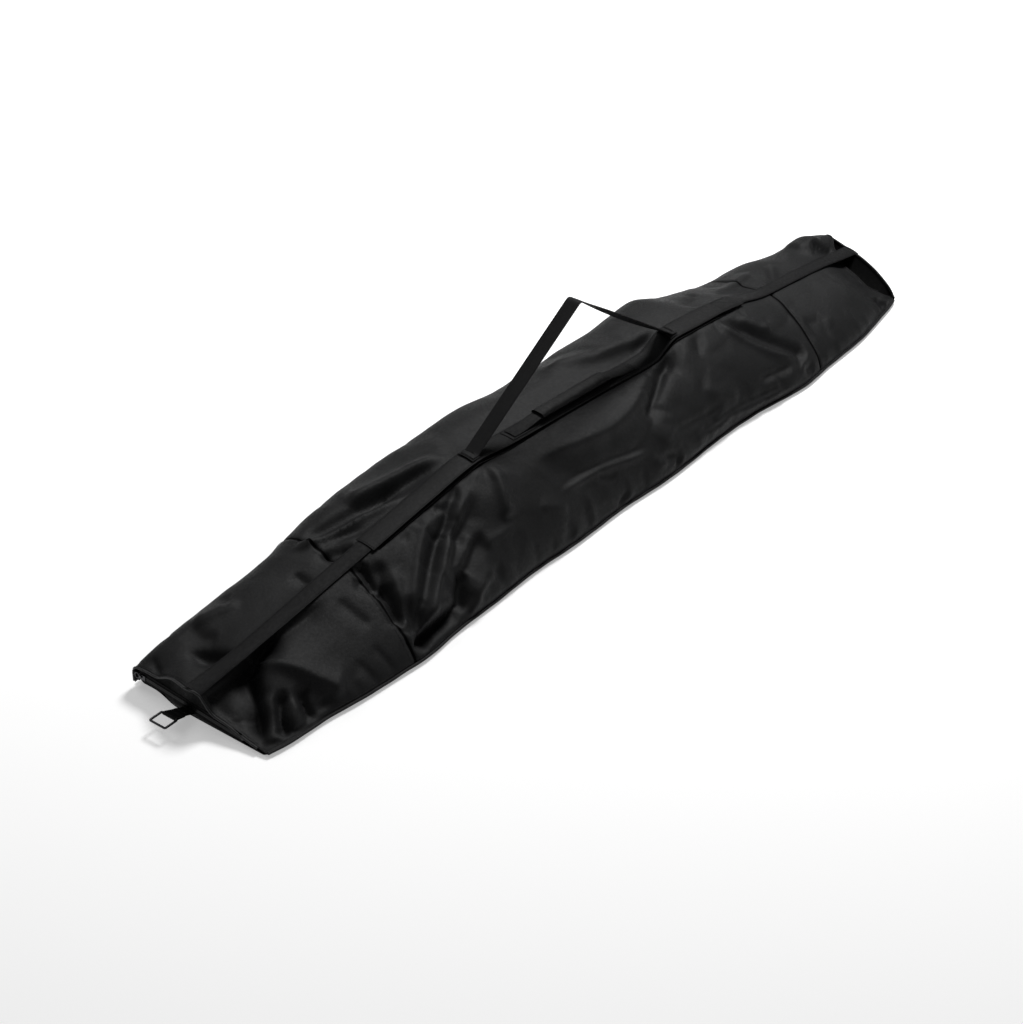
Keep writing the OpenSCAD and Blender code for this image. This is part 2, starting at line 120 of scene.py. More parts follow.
# ---- Shape of the filled bag ----
# Each row is a distance along the bag, then a half section's eight points, from the ridge to the
# base seam: how far out they are, without the ridge's own, and how high, without the seam's own.
LEFT = {
    0: ((18.3, 43.3, 68, 94.2, 123.8, 148.1, 150.7), (67, 66.8, 65.2, 57.8, 45, 43.6, 38)),
    30: ((26.5, 56.2, 85.3, 109.7, 132.9, 151.8, 153.1), (71, 69.5, 67, 60.1, 57.4, 56.7, 44)),
    60: ((20.2, 46.9, 77.3, 106.5, 134.2, 151.7, 153.4), (76, 72.2, 63.8, 63.2, 67.4, 65.1, 47)),
    120: ((25.1, 55.4, 85.7, 112.7, 137.6, 153.4, 156.2), (86, 82.1, 77.4, 79.6, 79.7, 70.5, 47)),
    200: ((30.3, 66.3, 102, 131.2, 148.8, 158.1, 157.7), (98, 96.3, 98.2, 95.8, 86, 67.6, 40)),
    300: ((29.3, 62.4, 101.1, 129.6, 147.5, 158.8, 156.7), (114, 113.4, 115.6, 112.3, 101.9, 78.7, 48)),
    346: ((31.6, 68.2, 105.4, 133.1, 151.7, 162.5, 159.1), (121, 120.6, 123.4, 120.6, 110.3, 87.8, 52)),
    440: ((32.2, 70.9, 111.3, 140.5, 159.2, 169.7, 162.4), (135, 133.2, 135.8, 135.2, 123.4, 97.1, 55)),
    540: ((32.2, 70.9, 111.3, 141.5, 162.2, 172.7, 163.4), (150, 145.2, 146.8, 145.2, 133.4, 105.1, 60)),
    671: ((32.2, 72.9, 109.3, 142.5, 164.2, 176.7, 165.4), (167, 160.2, 158.8, 154.2, 141.4, 111.1, 65)),
    760: ((33.7, 72.7, 106, 140.8, 164.2, 176.9, 165.3), (156, 152.7, 159.8, 157.2, 144, 113.4, 68)),
    900: ((32.4, 67.4, 100.1, 135.1, 159.2, 174.5, 163.7), (146, 148.5, 156.9, 152.8, 137.8, 108.8, 70)),
    1040: ((32.2, 67, 99.5, 134.3, 158.7, 174.2, 163.5), (137, 141.4, 151.5, 149.2, 135.1, 107.3, 70)),
    1180: ((28.6, 62.3, 99.5, 135.5, 159.4, 174.3, 163.2), (127, 133.7, 145.7, 147, 133.2, 104.9, 68)),
    1245: ((26.9, 59.6, 99.4, 136.7, 160.2, 174.3, 162.8), (150, 148, 150.9, 149.9, 135.2, 106.6, 67)),
    1311: ((29.6, 64.2, 101.4, 139.1, 162.7, 174.5, 163.1), (145, 145.6, 151.4, 150.6, 139.3, 109.8, 66)),
    1387: ((30, 66, 100, 132, 152, 163, 160), (138, 135, 134, 129, 116, 92, 56)),
    1460: ((30.8, 67.1, 100.6, 127.1, 145.1, 156.6, 157.5), (126, 121.7, 117.9, 111.3, 98.8, 77.8, 45)),
    1545: ((30.9, 65.5, 97.3, 121.8, 140.7, 151.9, 153.8), (104, 98.8, 97.3, 92.9, 83.4, 66.4, 38)),
    1650: ((31, 63.9, 95.9, 120.6, 138.3, 148.3, 149), (92, 88.9, 88.7, 85.5, 76.1, 59.9, 34)),
    1760: ((27.1, 54.4, 80.6, 102.3, 116.8, 124.7, 125.2), (78, 77, 77.1, 73.1, 65.8, 51.4, 28)),
    1830: ((23.9, 51.4, 77.2, 96.4, 107.9, 112.2, 110.7), (66, 67.7, 73.9, 76.4, 71.6, 55.2, 28)),
    1890: ((19.3, 41.3, 61.9, 78.8, 89, 93.4, 92.6), (57, 59.2, 64.9, 66.3, 60.2, 46.5, 24)),
}
RIGHT = {
    0: ((9.1, 18.3, 32.5, 60.9, 91.3, 121.7, 141), (66, 62, 46, 30, 23, 15, 10)),
    30: ((13.8, 29.6, 54.3, 83.9, 113.5, 136.1, 147), (70, 66, 52, 42, 32, 21, 11)),
    60: ((19.4, 42.6, 72.6, 101.6, 126.8, 143.2, 150), (76, 70, 57, 50, 39, 23, 11)),
    120: ((18.8, 46.9, 79.8, 107.9, 131.4, 146.4, 152), (86, 82, 74, 62, 46, 27, 13)),
    200: ((24.3, 56.3, 87.3, 118.3, 143.6, 158.1, 162), (98, 92, 80, 67, 49, 29, 14)),
    300: ((30, 62, 95, 126, 152, 166, 169), (114, 105, 92, 75, 54, 31, 15)),
    346: ((28.3, 60.7, 96.1, 129.5, 155.8, 170, 172), (121, 112, 98, 79, 56, 32, 16)),
    440: ((26.7, 59.1, 93.4, 125.9, 149.7, 162.1, 164), (135, 127, 112, 90, 63, 37, 18)),
    540: ((27.9, 61.4, 94.9, 126.6, 148.9, 160.1, 161), (150, 140, 122, 98, 69, 40, 19)),
    671: ((28.7, 61, 93.2, 123.7, 145.2, 155.1, 156), (167, 154, 134, 107, 75, 44, 21)),
    760: ((31.1, 65.8, 98.7, 128.9, 149.9, 160, 160), (156, 147, 131, 106, 76, 45, 22)),
    900: ((32.1, 67.8, 99.9, 127.6, 147.2, 157, 157), (146, 143, 128, 103, 73, 44, 22)),
    1040: ((33.3, 70.4, 103.7, 132.4, 152.8, 163, 163), (137, 134, 122, 99, 71, 43, 22)),
    1180: ((30.5, 66.4, 98.7, 127.4, 147.1, 157, 157), (127, 126, 116, 95, 69, 42, 22)),
    1245: ((28.5, 62.4, 96.3, 125.7, 146.2, 156, 156), (150, 139, 120, 96, 69, 42, 21)),
    1311: ((31.1, 65.8, 98.7, 127.9, 148.9, 159, 159), (145, 134, 115, 92, 66, 40, 20)),
    1387: ((33, 69.9, 104.9, 135, 157.3, 168, 168), (138, 126, 107, 85, 61, 38, 19)),
    1460: ((34.6, 73.3, 108.9, 140.4, 163.8, 174, 175), (126, 115, 97, 77, 56, 35, 18)),
    1545: ((33.8, 71.6, 105.4, 135.2, 157.1, 167, 168), (104, 96, 83, 66, 48, 31, 16)),
    1650: ((34, 70, 104, 132, 152, 162, 163), (92, 85, 74, 60, 44, 29, 15)),
    1760: ((30.3, 62.6, 92, 116.6, 135.6, 145.1, 146), (78, 73, 64, 52, 39, 25, 13)),
    1830: ((26.2, 54.4, 80.6, 103.8, 120.9, 130, 131), (66, 60, 51, 41, 29, 18, 11)),
    1890: ((18, 38, 58, 76, 90, 98, 100), (55, 50, 42, 33, 24, 15, 10)),
}
ROUND = 72             # samples of each half section, by length
STEP = 4.0             # spacing of the stored sections along the bag
BAG_END = 1890.0


def hermite(x, xs, ys):
    """Smooth curve through rows ys at xs, without overshoot where the rows stay level."""
    xs, ys = np.asarray(xs, float), np.asarray(ys, float)
    h = np.diff(xs).reshape(-1, *[1] * (ys.ndim - 1))
    slope = np.diff(ys, axis=0) / h
    m = np.zeros_like(ys)
    m[0], m[-1] = slope[0], slope[-1]
    same = slope[:-1] * slope[1:] > 0
    w1, w2 = 2 * h[1:] + h[:-1], h[1:] + 2 * h[:-1]
    with np.errstate(divide="ignore", invalid="ignore"):
        mid = (w1 + w2) / (w1 / slope[:-1] + w2 / slope[1:])
    m[1:-1] = np.where(same, mid, 0.0)
    x = np.clip(np.asarray(x, float), xs[0], xs[-1])
    i = np.clip(np.searchsorted(xs, x, side="right") - 1, 0, len(xs) - 2)
    step = (xs[i + 1] - xs[i])
    t = ((x - xs[i]) / step).reshape(-1, *[1] * (ys.ndim - 1))
    step = step.reshape(t.shape)
    return ((2 * t**3 - 3 * t**2 + 1) * ys[i] + (t**3 - 2 * t**2 + t) * step * m[i]
            + (3 * t**2 - 2 * t**3) * ys[i + 1] + (t**3 - t**2) * step * m[i + 1])


def smooth_line(points, per=8):
    """A smooth line through a few points, in short steps."""
    p = np.array(points, float)
    ends = np.vstack([2 * p[0] - p[1], p, 2 * p[-1] - p[-2]])
    line = []
    for a, b, c, d in zip(ends, ends[1:], ends[2:], ends[3:]):
        for t in np.linspace(0, 1, per, endpoint=False):
            line.append(0.5 * (2 * b + (c - a) * t + (2 * a - 5 * b + 4 * c - d) * t * t
                               + (3 * b - a - 3 * c + d) * t**3))
    return np.array(line + [p[-1]])


def distances(line):
    """How far along a line each of its points is."""
    return np.r_[0, np.cumsum(np.linalg.norm(np.diff(line, axis=0), axis=1))]


def resampled(line, count=None, step=2.5):
    """A plane line as evenly spaced points: count of them, or one for each step."""
    far = distances(line)
    even = np.linspace(0, far[-1], count or max(3, int(far[-1] / step)))
    return np.stack([np.interp(even, far, line[:, k]) for k in (0, 1)], axis=-1)


def half_section(side, out, up, seam_height):
    """A half section as a smooth line of (y, z), from the ridge to the base seam."""
    points = zip((0, *(side * y for y in out)), (*up, seam_height))
    return resampled(smooth_line(list(points), 16), ROUND)


class Half:
    """One side of the bag: a smooth surface by s along the bag and u down from the ridge."""

    def __init__(self, rows, side, seam_height):
        self.side = side
        self.s = np.arange(0, BAG_END + STEP, STEP)
        sections = np.array([half_section(side, *row, seam_height) for row in rows.values()])
        self.sections = hermite(self.s, list(rows), sections)
        steps = np.linalg.norm(np.diff(self.sections, axis=1), axis=2)
        self.u = np.concatenate([np.zeros((len(self.s), 1)), np.cumsum(steps, axis=1)], axis=1)
        self.length = self.u[:, -1]

    def girth(self, s):
        """How long the half section is, from the ridge to the base seam."""
        return np.interp(s, self.s, self.length)

    def at(self, s, v):
        """Points on the smooth surface: v runs from 0 at the ridge to 1 at the base seam."""
        s, v = np.broadcast_arrays(np.asarray(s, float), np.asarray(v, float))
        i = np.clip((s / STEP).astype(int), 0, len(self.s) - 2)
        j = np.clip((v * (ROUND - 1)).astype(int), 0, ROUND - 2)
        a = (s / STEP - i)[..., None]
        b = (v * (ROUND - 1) - j)[..., None]
        q = self.sections
        yz = ((q[i, j] * (1 - a) + q[i + 1, j] * a) * (1 - b)
              + (q[i, j + 1] * (1 - a) + q[i + 1, j + 1] * a) * b)
        return np.concatenate([s[..., None] + NEAR_X, yz], axis=-1)

    def normal(self, s, v):
        ds, dv = 6.0, 0.02
        along = self.at(s + ds, v) - self.at(s - ds, v)
        down = self.at(s, np.clip(v + dv, 0, 1)) - self.at(s, np.clip(v - dv, 0, 1))
        n = np.cross(along, down) * self.side
        return n / np.maximum(np.linalg.norm(n, axis=-1, keepdims=True), 1e-9)


left_half = Half(LEFT, 1, 8)
right_half = Half(RIGHT, -1, 7.4)


# ---- Folds in the fabric ----
# Side, height (negative is a hollow), width, then the fold's line as (s, u).
FOLDS = [
    ("R", -8, 13, [(-60, 36), (0, 34), (40, 31), (80, 28), (125, 24)]),
    ("R", -5, 13, [(120, 15), (156, 20), (200, 24), (276, 31)]),
    ("R", 6, 15, [(104, 27), (136, 85), (164, 139), (184, 168)]),
    ("R", -17, 14, [(190, -10), (128, 12), (84, 36), (58, 68), (34, 104), (2, 158)]),
    ("R", 5, 12, [(68, 73), (44, 113), (12, 151)]),
    ("R", -12, 7, [(96, 95), (64, 129), (48, 160)]),
    ("R", 4, 11, [(100, 116), (76, 140), (68, 158)]),
    ("R", -9, 6, [(130, 110), (108, 139), (106, 168)]),
    ("R", -2.5, 9, [(136, 145), (136, 165)]),
    ("R", 4, 8, [(16, 79), (4, 111), (0, 141)]),
    ("R", -4, 7, [(8, 68), (0, 102), (0, 134)]),
    ("R", -2.5, 8, [(284, 37), (288, 77), (296, 115)]),
    ("R", -9, 12, [(600, 26), (560, 51), (504, 78), (452, 110), (408, 139), (372, 162), (344, 179)]),
    ("R", 7, 13, [(632, 42), (576, 64), (524, 85), (476, 114), (432, 136), (392, 156), (356, 177)]),
    ("R", -5, 13, [(624, 62), (576, 80), (544, 95), (508, 115), (464, 138)]),
    ("R", 5, 13, [(536, 32), (480, 59), (436, 88), (396, 120), (360, 156)]),
    ("R", -6, 11, [(392, 39), (368, 66), (352, 96)]),
    ("R", -5, 6, [(344, 36), (324, 59)]),
    ("R", -5, 8, [(384, 114), (360, 147), (344, 170)]),
    ("R", -9, 7, [(362, 10), (360, 34), (354, 60), (350, 78)]),
    ("R", -10, 8, [(366, 66), (360, 96), (350, 124), (342, 150)]),
    ("R", 4, 11, [(400, 60), (376, 96), (356, 135), (344, 167)]),
    ("R", -6, 10, [(584, 115), (536, 136), (504, 149)]),
    ("R", -11, 9, [(512, 140), (484, 168), (462, 200)]),
    ("R", -14, 9, [(330, 188), (376, 182), (428, 184), (470, 186)]),
    ("R", 5, 11, [(376, 165), (420, 160), (464, 168)]),
    ("R", 5, 8, [(472, 215), (504, 193), (536, 183), (572, 182)]),
    ("R", -3, 6, [(524, 182), (560, 181), (584, 183)]),
    ("R", 3, 7, [(356, 198), (400, 202), (440, 206)]),
    ("R", -5, 5, [(552, 29), (540, 41)]),
    ("R", -4, 5, [(504, 31), (492, 37)]),
    ("R", -4, 5, [(464, 31), (452, 43)]),
    ("R", -6, 6, [(604, 23), (580, 45)]),
    ("R", 6, 13, [(688, 29), (672, 69), (652, 108), (644, 127)]),
    ("R", -4, 28, [(1104, 95), (1000, 145), (924, 148), (844, 127), (768, 85)]),
    ("R", -9, 12, [(1220, 22), (1168, 46), (1092, 88), (1044, 108)]),
    ("R", 7, 24, [(1210, 20), (1095, 58), (1016, 84), (940, 90), (840, 76), (760, 60)]),
    ("R", 5, 9, [(1016, 166), (944, 153), (868, 141), (768, 140)]),
    ("R", -4, 7, [(1016, 156), (948, 140), (868, 131), (776, 127)]),
    ("R", -7, 5, [(1024, 182), (1064, 193), (1072, 205), (1056, 219)]),
    ("R", 3, 6, [(1016, 172), (1020, 195), (1044, 194)]),
    ("R", -3, 6, [(872, 147), (916, 172)]),
    ("R", -5, 5, [(892, 217), (924, 204)]),
    ("R", 3, 6, [(900, 227), (936, 210)]),
    ("R", 2.5, 7, [(716, 138), (776, 173)]),
    ("R", 3, 6, [(572, 134), (600, 139), (660, 147)]),
    ("R", -3, 5, [(752, 183), (764, 209), (732, 206)]),
    ("R", -3, 8, [(1076, 158), (1152, 159), (1240, 169)]),
    ("R", 3, 15, [(1208, 116), (1248, 156), (1292, 171)]),
    ("R", -5, 6, [(1344, 168), (1392, 169), (1448, 174)]),
    ("R", 5, 9, [(1356, 22), (1380, 78), (1420, 134), (1484, 176)]),
    ("R", -8, 16, [(1376, 22), (1424, 91), (1476, 144), (1500, 170)]),
    ("R", 4, 8, [(1416, 34), (1440, 75), (1472, 92)]),
    ("R", -6, 5, [(1464, 192), (1496, 192)]),
    ("R", -2.5, 10, [(1312, 22), (1284, 50), (1256, 69)]),
    ("R", -4, 7, [(1780, 122), (1788, 145), (1780, 161)]),
    ("R", 3, 7, [(1792, 128), (1804, 154)]),
    ("R", -2, 14, [(1556, 107), (1612, 121)]),
    ("R", 4, 7, [(1124, 189), (1228, 195), (1336, 205), (1436, 212)]),
    ("R", -4, 6, [(1120, 180), (1224, 186), (1332, 193), (1436, 203)]),
    ("L", 8, 12, [(660, 29), (608, 56), (548, 75), (488, 89), (452, 95)]),
    ("L", -5, 11, [(632, 28), (584, 48), (532, 55), (476, 61), (424, 71), (376, 86), (348, 94)]),
    ("L", -6, 9, [(560, 56), (480, 70), (405, 88), (330, 106)]),
    ("L", 7, 9, [(560, 16), (504, 31), (456, 49), (392, 62), (348, 80), (316, 97)]),
    ("L", -5, 8, [(480, 15), (432, 30), (384, 58), (340, 69)]),
    ("L", 3, 7, [(456, 8), (412, 18), (380, 43), (340, 69)]),
    ("L", -6, 9, [(388, 4), (364, 28), (332, 48)]),
    ("L", -7, 6, [(280, 55), (280, 33), (276, 13)]),
    ("L", -4, 5, [(188, 123), (176, 107), (160, 93)]),
    ("L", 4, 12, [(108, 128), (128, 109), (156, 96), (188, 86)]),
    ("L", -3, 15, [(100, 122), (96, 87), (108, 61)]),
    ("L", -10, 12, [(112, -20), (86, 10), (76, 40), (60, 90)]),
    ("L", -4, 7, [(24, 133), (0, 93)]),
    ("L", 5, 15, [(1004, 115), (1028, 87), (1088, 63), (1164, 51), (1220, 35), (1240, 24)]),
    ("L", -8, 13, [(1164, 24), (1212, 16), (1240, 0)]),
    ("L", -4, 6, [(1352, 49), (1408, 69), (1444, 86)]),
    ("L", -3, 5, [(1420, 75), (1388, 46), (1380, 32)]),
    ("L", 4, 9, [(1476, 54), (1552, 62), (1632, 77)]),
    ("L", -3, 10, [(1692, 75), (1644, 34), (1584, 9)]),
    ("L", 5, 20, [(1852, 72), (1815, 62), (1775, 70)]),
    ("L", -7, 8, [(1846, 18), (1828, 40), (1812, 62)]),
]
RASTER = 2.5
CREST = 3.2                 # how round the top of a fold is
PLACKET = (397, 1463)       # where the zip's cover starts and stops along the bag
PLACKET_HALF = 20
WEB_HALF = 15
WEB_THICK = 1.8
MOUTH_BULGE = 12            # how far the mouth's lip stands out in its middle
FOLD_GAIN = 1.9             # how much deeper a fold is pressed than it stays after settling
GROOVE_DEPTH = 4.0          # of a cross seam
END_SINK = 17               # how far the top sinks where it stops short of the far end
SHARP = 42.0                # degrees between faces that meet in an edge


def smoothstep(low, high, x):
    t = np.clip((np.asarray(x, float) - low) / (high - low), 0, 1)
    return t * t * (3 - 2 * t)


def soft_noise(rng, shape, size, depth):
    """Random hills of about one size and height, on a raster."""
    noise = rng.standard_normal(shape)
    fs, fu = np.fft.fftfreq(shape[0], RASTER), np.fft.fftfreq(shape[1], RASTER)
    keep = np.exp(-0.5 * (np.pi * size) ** 2 * (fs[:, None] ** 2 + fu[None] ** 2))
    hills = np.fft.ifft2(np.fft.fft2(noise) * keep).real
    return depth * hills / hills.std()


class Relief:
    """How far the fabric stands out of the smooth surface, by s and u, in millimetres."""

    def __init__(self, side, seed):
        rng = np.random.default_rng(seed)
        self.lit = np.array([1.0, 0.6 if side == "L" else -0.5])    # folds lean this way, in (s, u)
        self.s = np.arange(0, BAG_END + RASTER, RASTER)
        self.u = np.arange(0, 290, RASTER)
        shape = (len(self.s), len(self.u))
        self.grid = soft_noise(rng, shape, 22, 0.28) + soft_noise(rng, shape, 60, 0.8)
        for fold_side, height, width, points in FOLDS:
            if fold_side == side:
                self.press(FOLD_GAIN * height * min(1.0, width / 9), width, points)
        self.scatter(rng, side)

    def press(self, height, width, points):
        """Adds one fold, steep on the side away from self.lit, dying out at its ends."""
        line = smooth_line(points)
        reach = 4.4 * width
        i = slice(*np.searchsorted(self.s, [line[:, 0].min() - reach, line[:, 0].max() + reach]))
        j = slice(*np.searchsorted(self.u, [line[:, 1].min() - reach, line[:, 1].max() + reach]))
        s, u = np.meshgrid(self.s[i], self.u[j], indexing="ij")
        start, run = line[:-1], np.diff(line, axis=0)
        off = np.stack([s, u], axis=-1)[..., None, :] - start
        along = np.clip((off * run).sum(-1) / np.maximum((run**2).sum(-1), 1e-9), 0, 1)
        gap = np.linalg.norm(off - along[..., None] * run, axis=-1)
        nearest = gap.argmin(axis=-1)
        part = np.take_along_axis(along, nearest[..., None], axis=-1)[..., 0]
        t = (nearest + part) / len(run)
        taper = smoothstep(0, 0.22, t) * smoothstep(0, 0.22, 1 - t)
        start, run = start[nearest], run[nearest]
        across = np.stack([run[..., 1], -run[..., 0]], axis=-1)
        across *= np.sign(across @ self.lit + 1e-9)[..., None]
        x = (np.stack([s, u], axis=-1) - start) * across
        narrow = width * (0.35 + 0.65 * taper) * np.where(x.sum(-1) * height < 0, 0.6, 1.45)
        gap = np.sqrt(gap.min(axis=-1) ** 2 + CREST**2) - CREST
        self.grid[i, j] += height * taper * np.exp(-(gap / narrow) ** 1.25)

    def scatter(self, rng, side):
        """Small creases: loose ones all over, and puckers where a seam gathers the fabric."""
        half = left_half if side == "L" else right_half
        for _ in range(95):
            s, u = rng.uniform(20, 1870), rng.uniform(40, 225)
            turn, long = rng.uniform(-0.9, 0.9) + rng.choice([0, 1.2]), rng.uniform(35, 130)
            step = np.array([math.cos(turn), math.sin(turn)]) * long / 2
            bend = np.array([-step[1], step[0]]) * rng.uniform(-0.2, 0.2)
            self.press(rng.uniform(-1.5, 1.2), rng.uniform(5, 12),
                       [(s, u) - step, (s, u) + bend, (s, u) + step])
        for s in np.arange(15, 1870, 34) + rng.uniform(-12, 12, 55):
            low, lean = float(half.girth(s)) + 12, rng.uniform(-18, 18)
            self.press(rng.uniform(-3.2, 2.2), rng.uniform(3.5, 6),
                       [(s, low), (s + lean, low - rng.uniform(45, 85))])
        if side == "R":
            for s in np.arange(*PLACKET, 31) + rng.uniform(-10, 10, 35):
                self.press(rng.uniform(-3.0, 1.0), rng.uniform(3, 5),
                           [(s, 4), (s + rng.uniform(-26, 8), rng.uniform(40, 75))])

    def at(self, s, u):
        i = np.clip(s / RASTER, 0, len(self.s) - 1.001)
        j = np.clip(u / RASTER, 0, len(self.u) - 1.001)
        i0, j0 = i.astype(int), j.astype(int)
        a, b, g = i - i0, j - j0, self.grid
        return ((g[i0, j0] * (1 - a) + g[i0 + 1, j0] * a) * (1 - b)
                + (g[i0, j0 + 1] * (1 - a) + g[i0 + 1, j0 + 1] * a) * b)


left_half.relief = Relief("L", 11)
right_half.relief = Relief("R", 23)


def near_seam(half, v):
    return 346 + 8 * v if half.side > 0 else 346 - 21 * v**1.5


def far_seam(half, v):
    return 1568 - 27 * v if half.side > 0 else 1568 - 54 * v**1.3


def end_line(half, v):
    """Where the bag's far end is, as s, by how far down the section it is."""
    return 1873 + 16 * smoothstep(0, 0.55, v) if half.side > 0 else 1873 - 37 * v


def lip_gap(half, v):
    """How far the top panel stops short of the far end, as a share of its most."""
    return 0.5 * (1 - smoothstep(0.16, 0.42, v)) if half.side > 0 else 1 - smoothstep(0.5, 1.0, v)


def lip_line(half, v):
    return end_line(half, v) - 38 * lip_gap(half, v)


def skin(half, s, u, lift=0.0, bare=False):
    """Points on the creased fabric, lift above it. bare leaves out all folds and tucks."""
    s, u = np.broadcast_arrays(np.asarray(s, float), np.asarray(u, float))
    girth = half.girth(s)
    v = np.clip(u / girth, 0, 1)
    p, n = half.at(s, v), half.normal(s, v)
    height = np.zeros_like(v) + lift
    if not bare:
        rise = half.relief.at(s, u)
        under_web = (s < PLACKET[0] - 10) | (s > PLACKET[1] + 10)
        ridge = np.where(under_web & (rise < 0), smoothstep(0, 9, u), smoothstep(16, 40, u))
        height = height + rise * (ridge * smoothstep(0, 16, girth - u) * smoothstep(0, 10, s)
                                  * (1 - smoothstep(-14, 0, s - end_line(half, v))))
        for seam in (near_seam, far_seam):
            off = s - seam(half, v)
            height = height - GROOVE_DEPTH * np.exp(-(np.abs(off) / 3.0) ** 1.5)
        under = smoothstep(-4, 40, s - PLACKET[0]) * (1 - smoothstep(-70, 0, s - PLACKET[1]))
        depth = 2.2 if half.side < 0 else 0.8
        height = height - depth * under * (1 - smoothstep(21, 33, u))
    p = p + n * height[..., None]
    if not bare:
        sunk = smoothstep(-85, 0, s - lip_line(half, v)) * lip_gap(half, v)
        p[..., 2] -= END_SINK * sunk
    p[..., 0] -= (MOUTH_BULGE * np.exp(-(((p[..., 1] - 15) / 38) ** 2))
                  * np.clip(1 - s / 55, 0, 1) ** 2)
    return p


# ---- Meshes ----
def unit(v):
    return v / np.maximum(np.linalg.norm(v, axis=-1, keepdims=True), 1e-9)


def grid(*parts):
    """Coordinates stretched over one grid and joined into its points."""
    return np.stack(np.broadcast_arrays(*parts), axis=-1)


def make_object(name, verts, faces, uv, material):
    """A smooth-shaded object from points in millimetres, with its weave's coordinates in metres."""
    mesh = bpy.data.meshes.new(name)
    mesh.from_pydata((np.asarray(verts) * MM).tolist(), [], faces)
    layer = mesh.uv_layers.new(name="weave")
    index = np.zeros(len(mesh.loops), int)
    mesh.loops.foreach_get("vertex_index", index)
    layer.data.foreach_set("uv", (np.asarray(uv)[index] * MM).astype(np.float32).ravel())
    mesh.polygons.foreach_set("use_smooth", [True] * len(mesh.polygons))
    mesh.set_sharp_from_angle(angle=math.radians(SHARP))
    mesh.materials.append(material)
    mesh.update()
    obj = bpy.data.objects.new(name, mesh)
    bpy.context.scene.collection.objects.link(obj)
    return obj


def grid_faces(n, m, first=0, flip=False):
    i = np.arange(n - 1)[:, None] * m + np.arange(m - 1)[None] + first
    quads = np.stack([i, i + 1, i + m + 1, i + m], axis=-1).reshape(-1, 4)
    return (quads[:, ::-1] if flip else quads).tolist()


def grid_normals(p):
    """Unit normals of a grid of points, (n, m, 3)."""
    return unit(np.cross(np.gradient(p, axis=0), np.gradient(p, axis=1)))


def slab(name, outer, inner, uv, material):
    """A closed sheet between two matching grids of points."""
    n, m = outer.shape[:2]
    k = n * m
    faces = grid_faces(n, m, 0) + grid_faces(n, m, k, flip=True)
    ring = ([(0, j) for j in range(m)] + [(i, m - 1) for i in range(1, n)]
            + [(n - 1, j) for j in range(m - 2, -1, -1)] + [(i, 0) for i in range(n - 2, 0, -1)])
    ids = [i * m + j for i, j in ring]
    for a, b in zip(ids, ids[1:] + ids[:1]):
        faces.append([b, a, a + k, b + k])
    verts = np.vstack([outer.reshape(-1, 3), inner.reshape(-1, 3)])
    flat = np.asarray(uv, float).reshape(-1, 2)
    return make_object(name, verts, faces, np.vstack([flat, flat]), material)


def sheet_piece(name, points, thick, uv, material, side):
    """A sheet of even thickness under a grid. side is -1 where the grid's normals point inward."""
    n = grid_normals(points) * side
    inner = points - n * thick
    if side > 0:
        return slab(name, points, inner, uv, material)
    return slab(name, inner, points, uv, material)


def tube(name, line, radius, material, sides=10):
    """A round cord along a line, closed at its ends."""
    line = np.asarray(line, float)
    along = unit(np.gradient(line, axis=0))
    up = np.tile([0.0, 0.0, 1.0], (len(line), 1))
    up[np.abs(along[:, 2]) > 0.9] = [1.0, 0.0, 0.0]
    across = unit(np.cross(along, up))
    up = np.cross(across, along)
    turn = np.linspace(0, 2 * np.pi, sides, endpoint=False)
    rings = (line[:, None] + radius * (across[:, None] * np.cos(turn)[None, :, None]
                                       + up[:, None] * np.sin(turn)[None, :, None]))
    faces = []
    for i in range(len(line) - 1):
        for k in range(sides):
            a, b = i * sides + k, i * sides + (k + 1) % sides
            faces.append([a, a + sides, b + sides, b])
    faces += [list(range(sides)), [(len(line) - 1) * sides + k for k in range(sides - 1, -1, -1)]]
    uv = grid(distances(line)[:, None], turn * radius)
    return make_object(name, rings.reshape(-1, 3), faces, uv.reshape(-1, 2), material)


class Threads:
    """Rows of stitches, gathered into one object: each stitch is a small grain of thread."""

    def __init__(self):
        self.verts, self.faces = [], []

    def row(self, line, normals=(0, 0, 1.0), pitch=3.6, long=2.7, thick=0.42):
        normals = np.broadcast_to(np.asarray(normals, float), line.shape)
        far = distances(line)
        for start in np.arange(0.4, far[-1] - long, pitch):
            a, b = (np.array([np.interp(start + d, far, line[:, c]) for c in range(3)])
                    for d in (0, long))
            n = unit(np.array([np.interp(start, far, normals[:, c]) for c in range(3)]))
            self.grain(a, b, n, thick)

    def grain(self, a, b, n, thick):
        side = unit(np.cross(b - a, n))
        first = len(self.verts)
        for t, r, h in ((0.0, 0.35, -0.5), (0.25, 1, 0.5), (0.75, 1, 0.5), (1.0, 0.35, -0.5)):
            c = a + (b - a) * t + n * thick * h
            self.verts += [c + side * thick * r, c + n * thick * r * 0.8, c - side * thick * r,
                           c - n * thick * r * 0.8]
        for k in range(3):
            for q in range(4):
                i, j = first + 4 * k + q, first + 4 * k + (q + 1) % 4
                self.faces.append([i, i + 4, j + 4, j])
        self.faces += [[first + q for q in range(4)], [first + 12 + q for q in (3, 2, 1, 0)]]

    def make(self, name, material):
        return make_object(name, np.array(self.verts), self.faces, np.array(self.verts)[:, :2],
                           material)


# ---- Materials ----
def node(tree, kind, values=None, **settings):
    made = tree.nodes.new("ShaderNode" + kind)
    for key, value in settings.items():
        setattr(made, key, value)
    for key, value in (values or {}).items():
        if isinstance(value, bpy.types.NodeSocket):
            tree.links.new(value, made.inputs[key])
        else:
            made.inputs[key].default_value = value
    return made


def maths(tree, operation, a, b=0.0):
    return node(tree, "Math", {0: a, 1: b}, operation=operation).outputs[0]


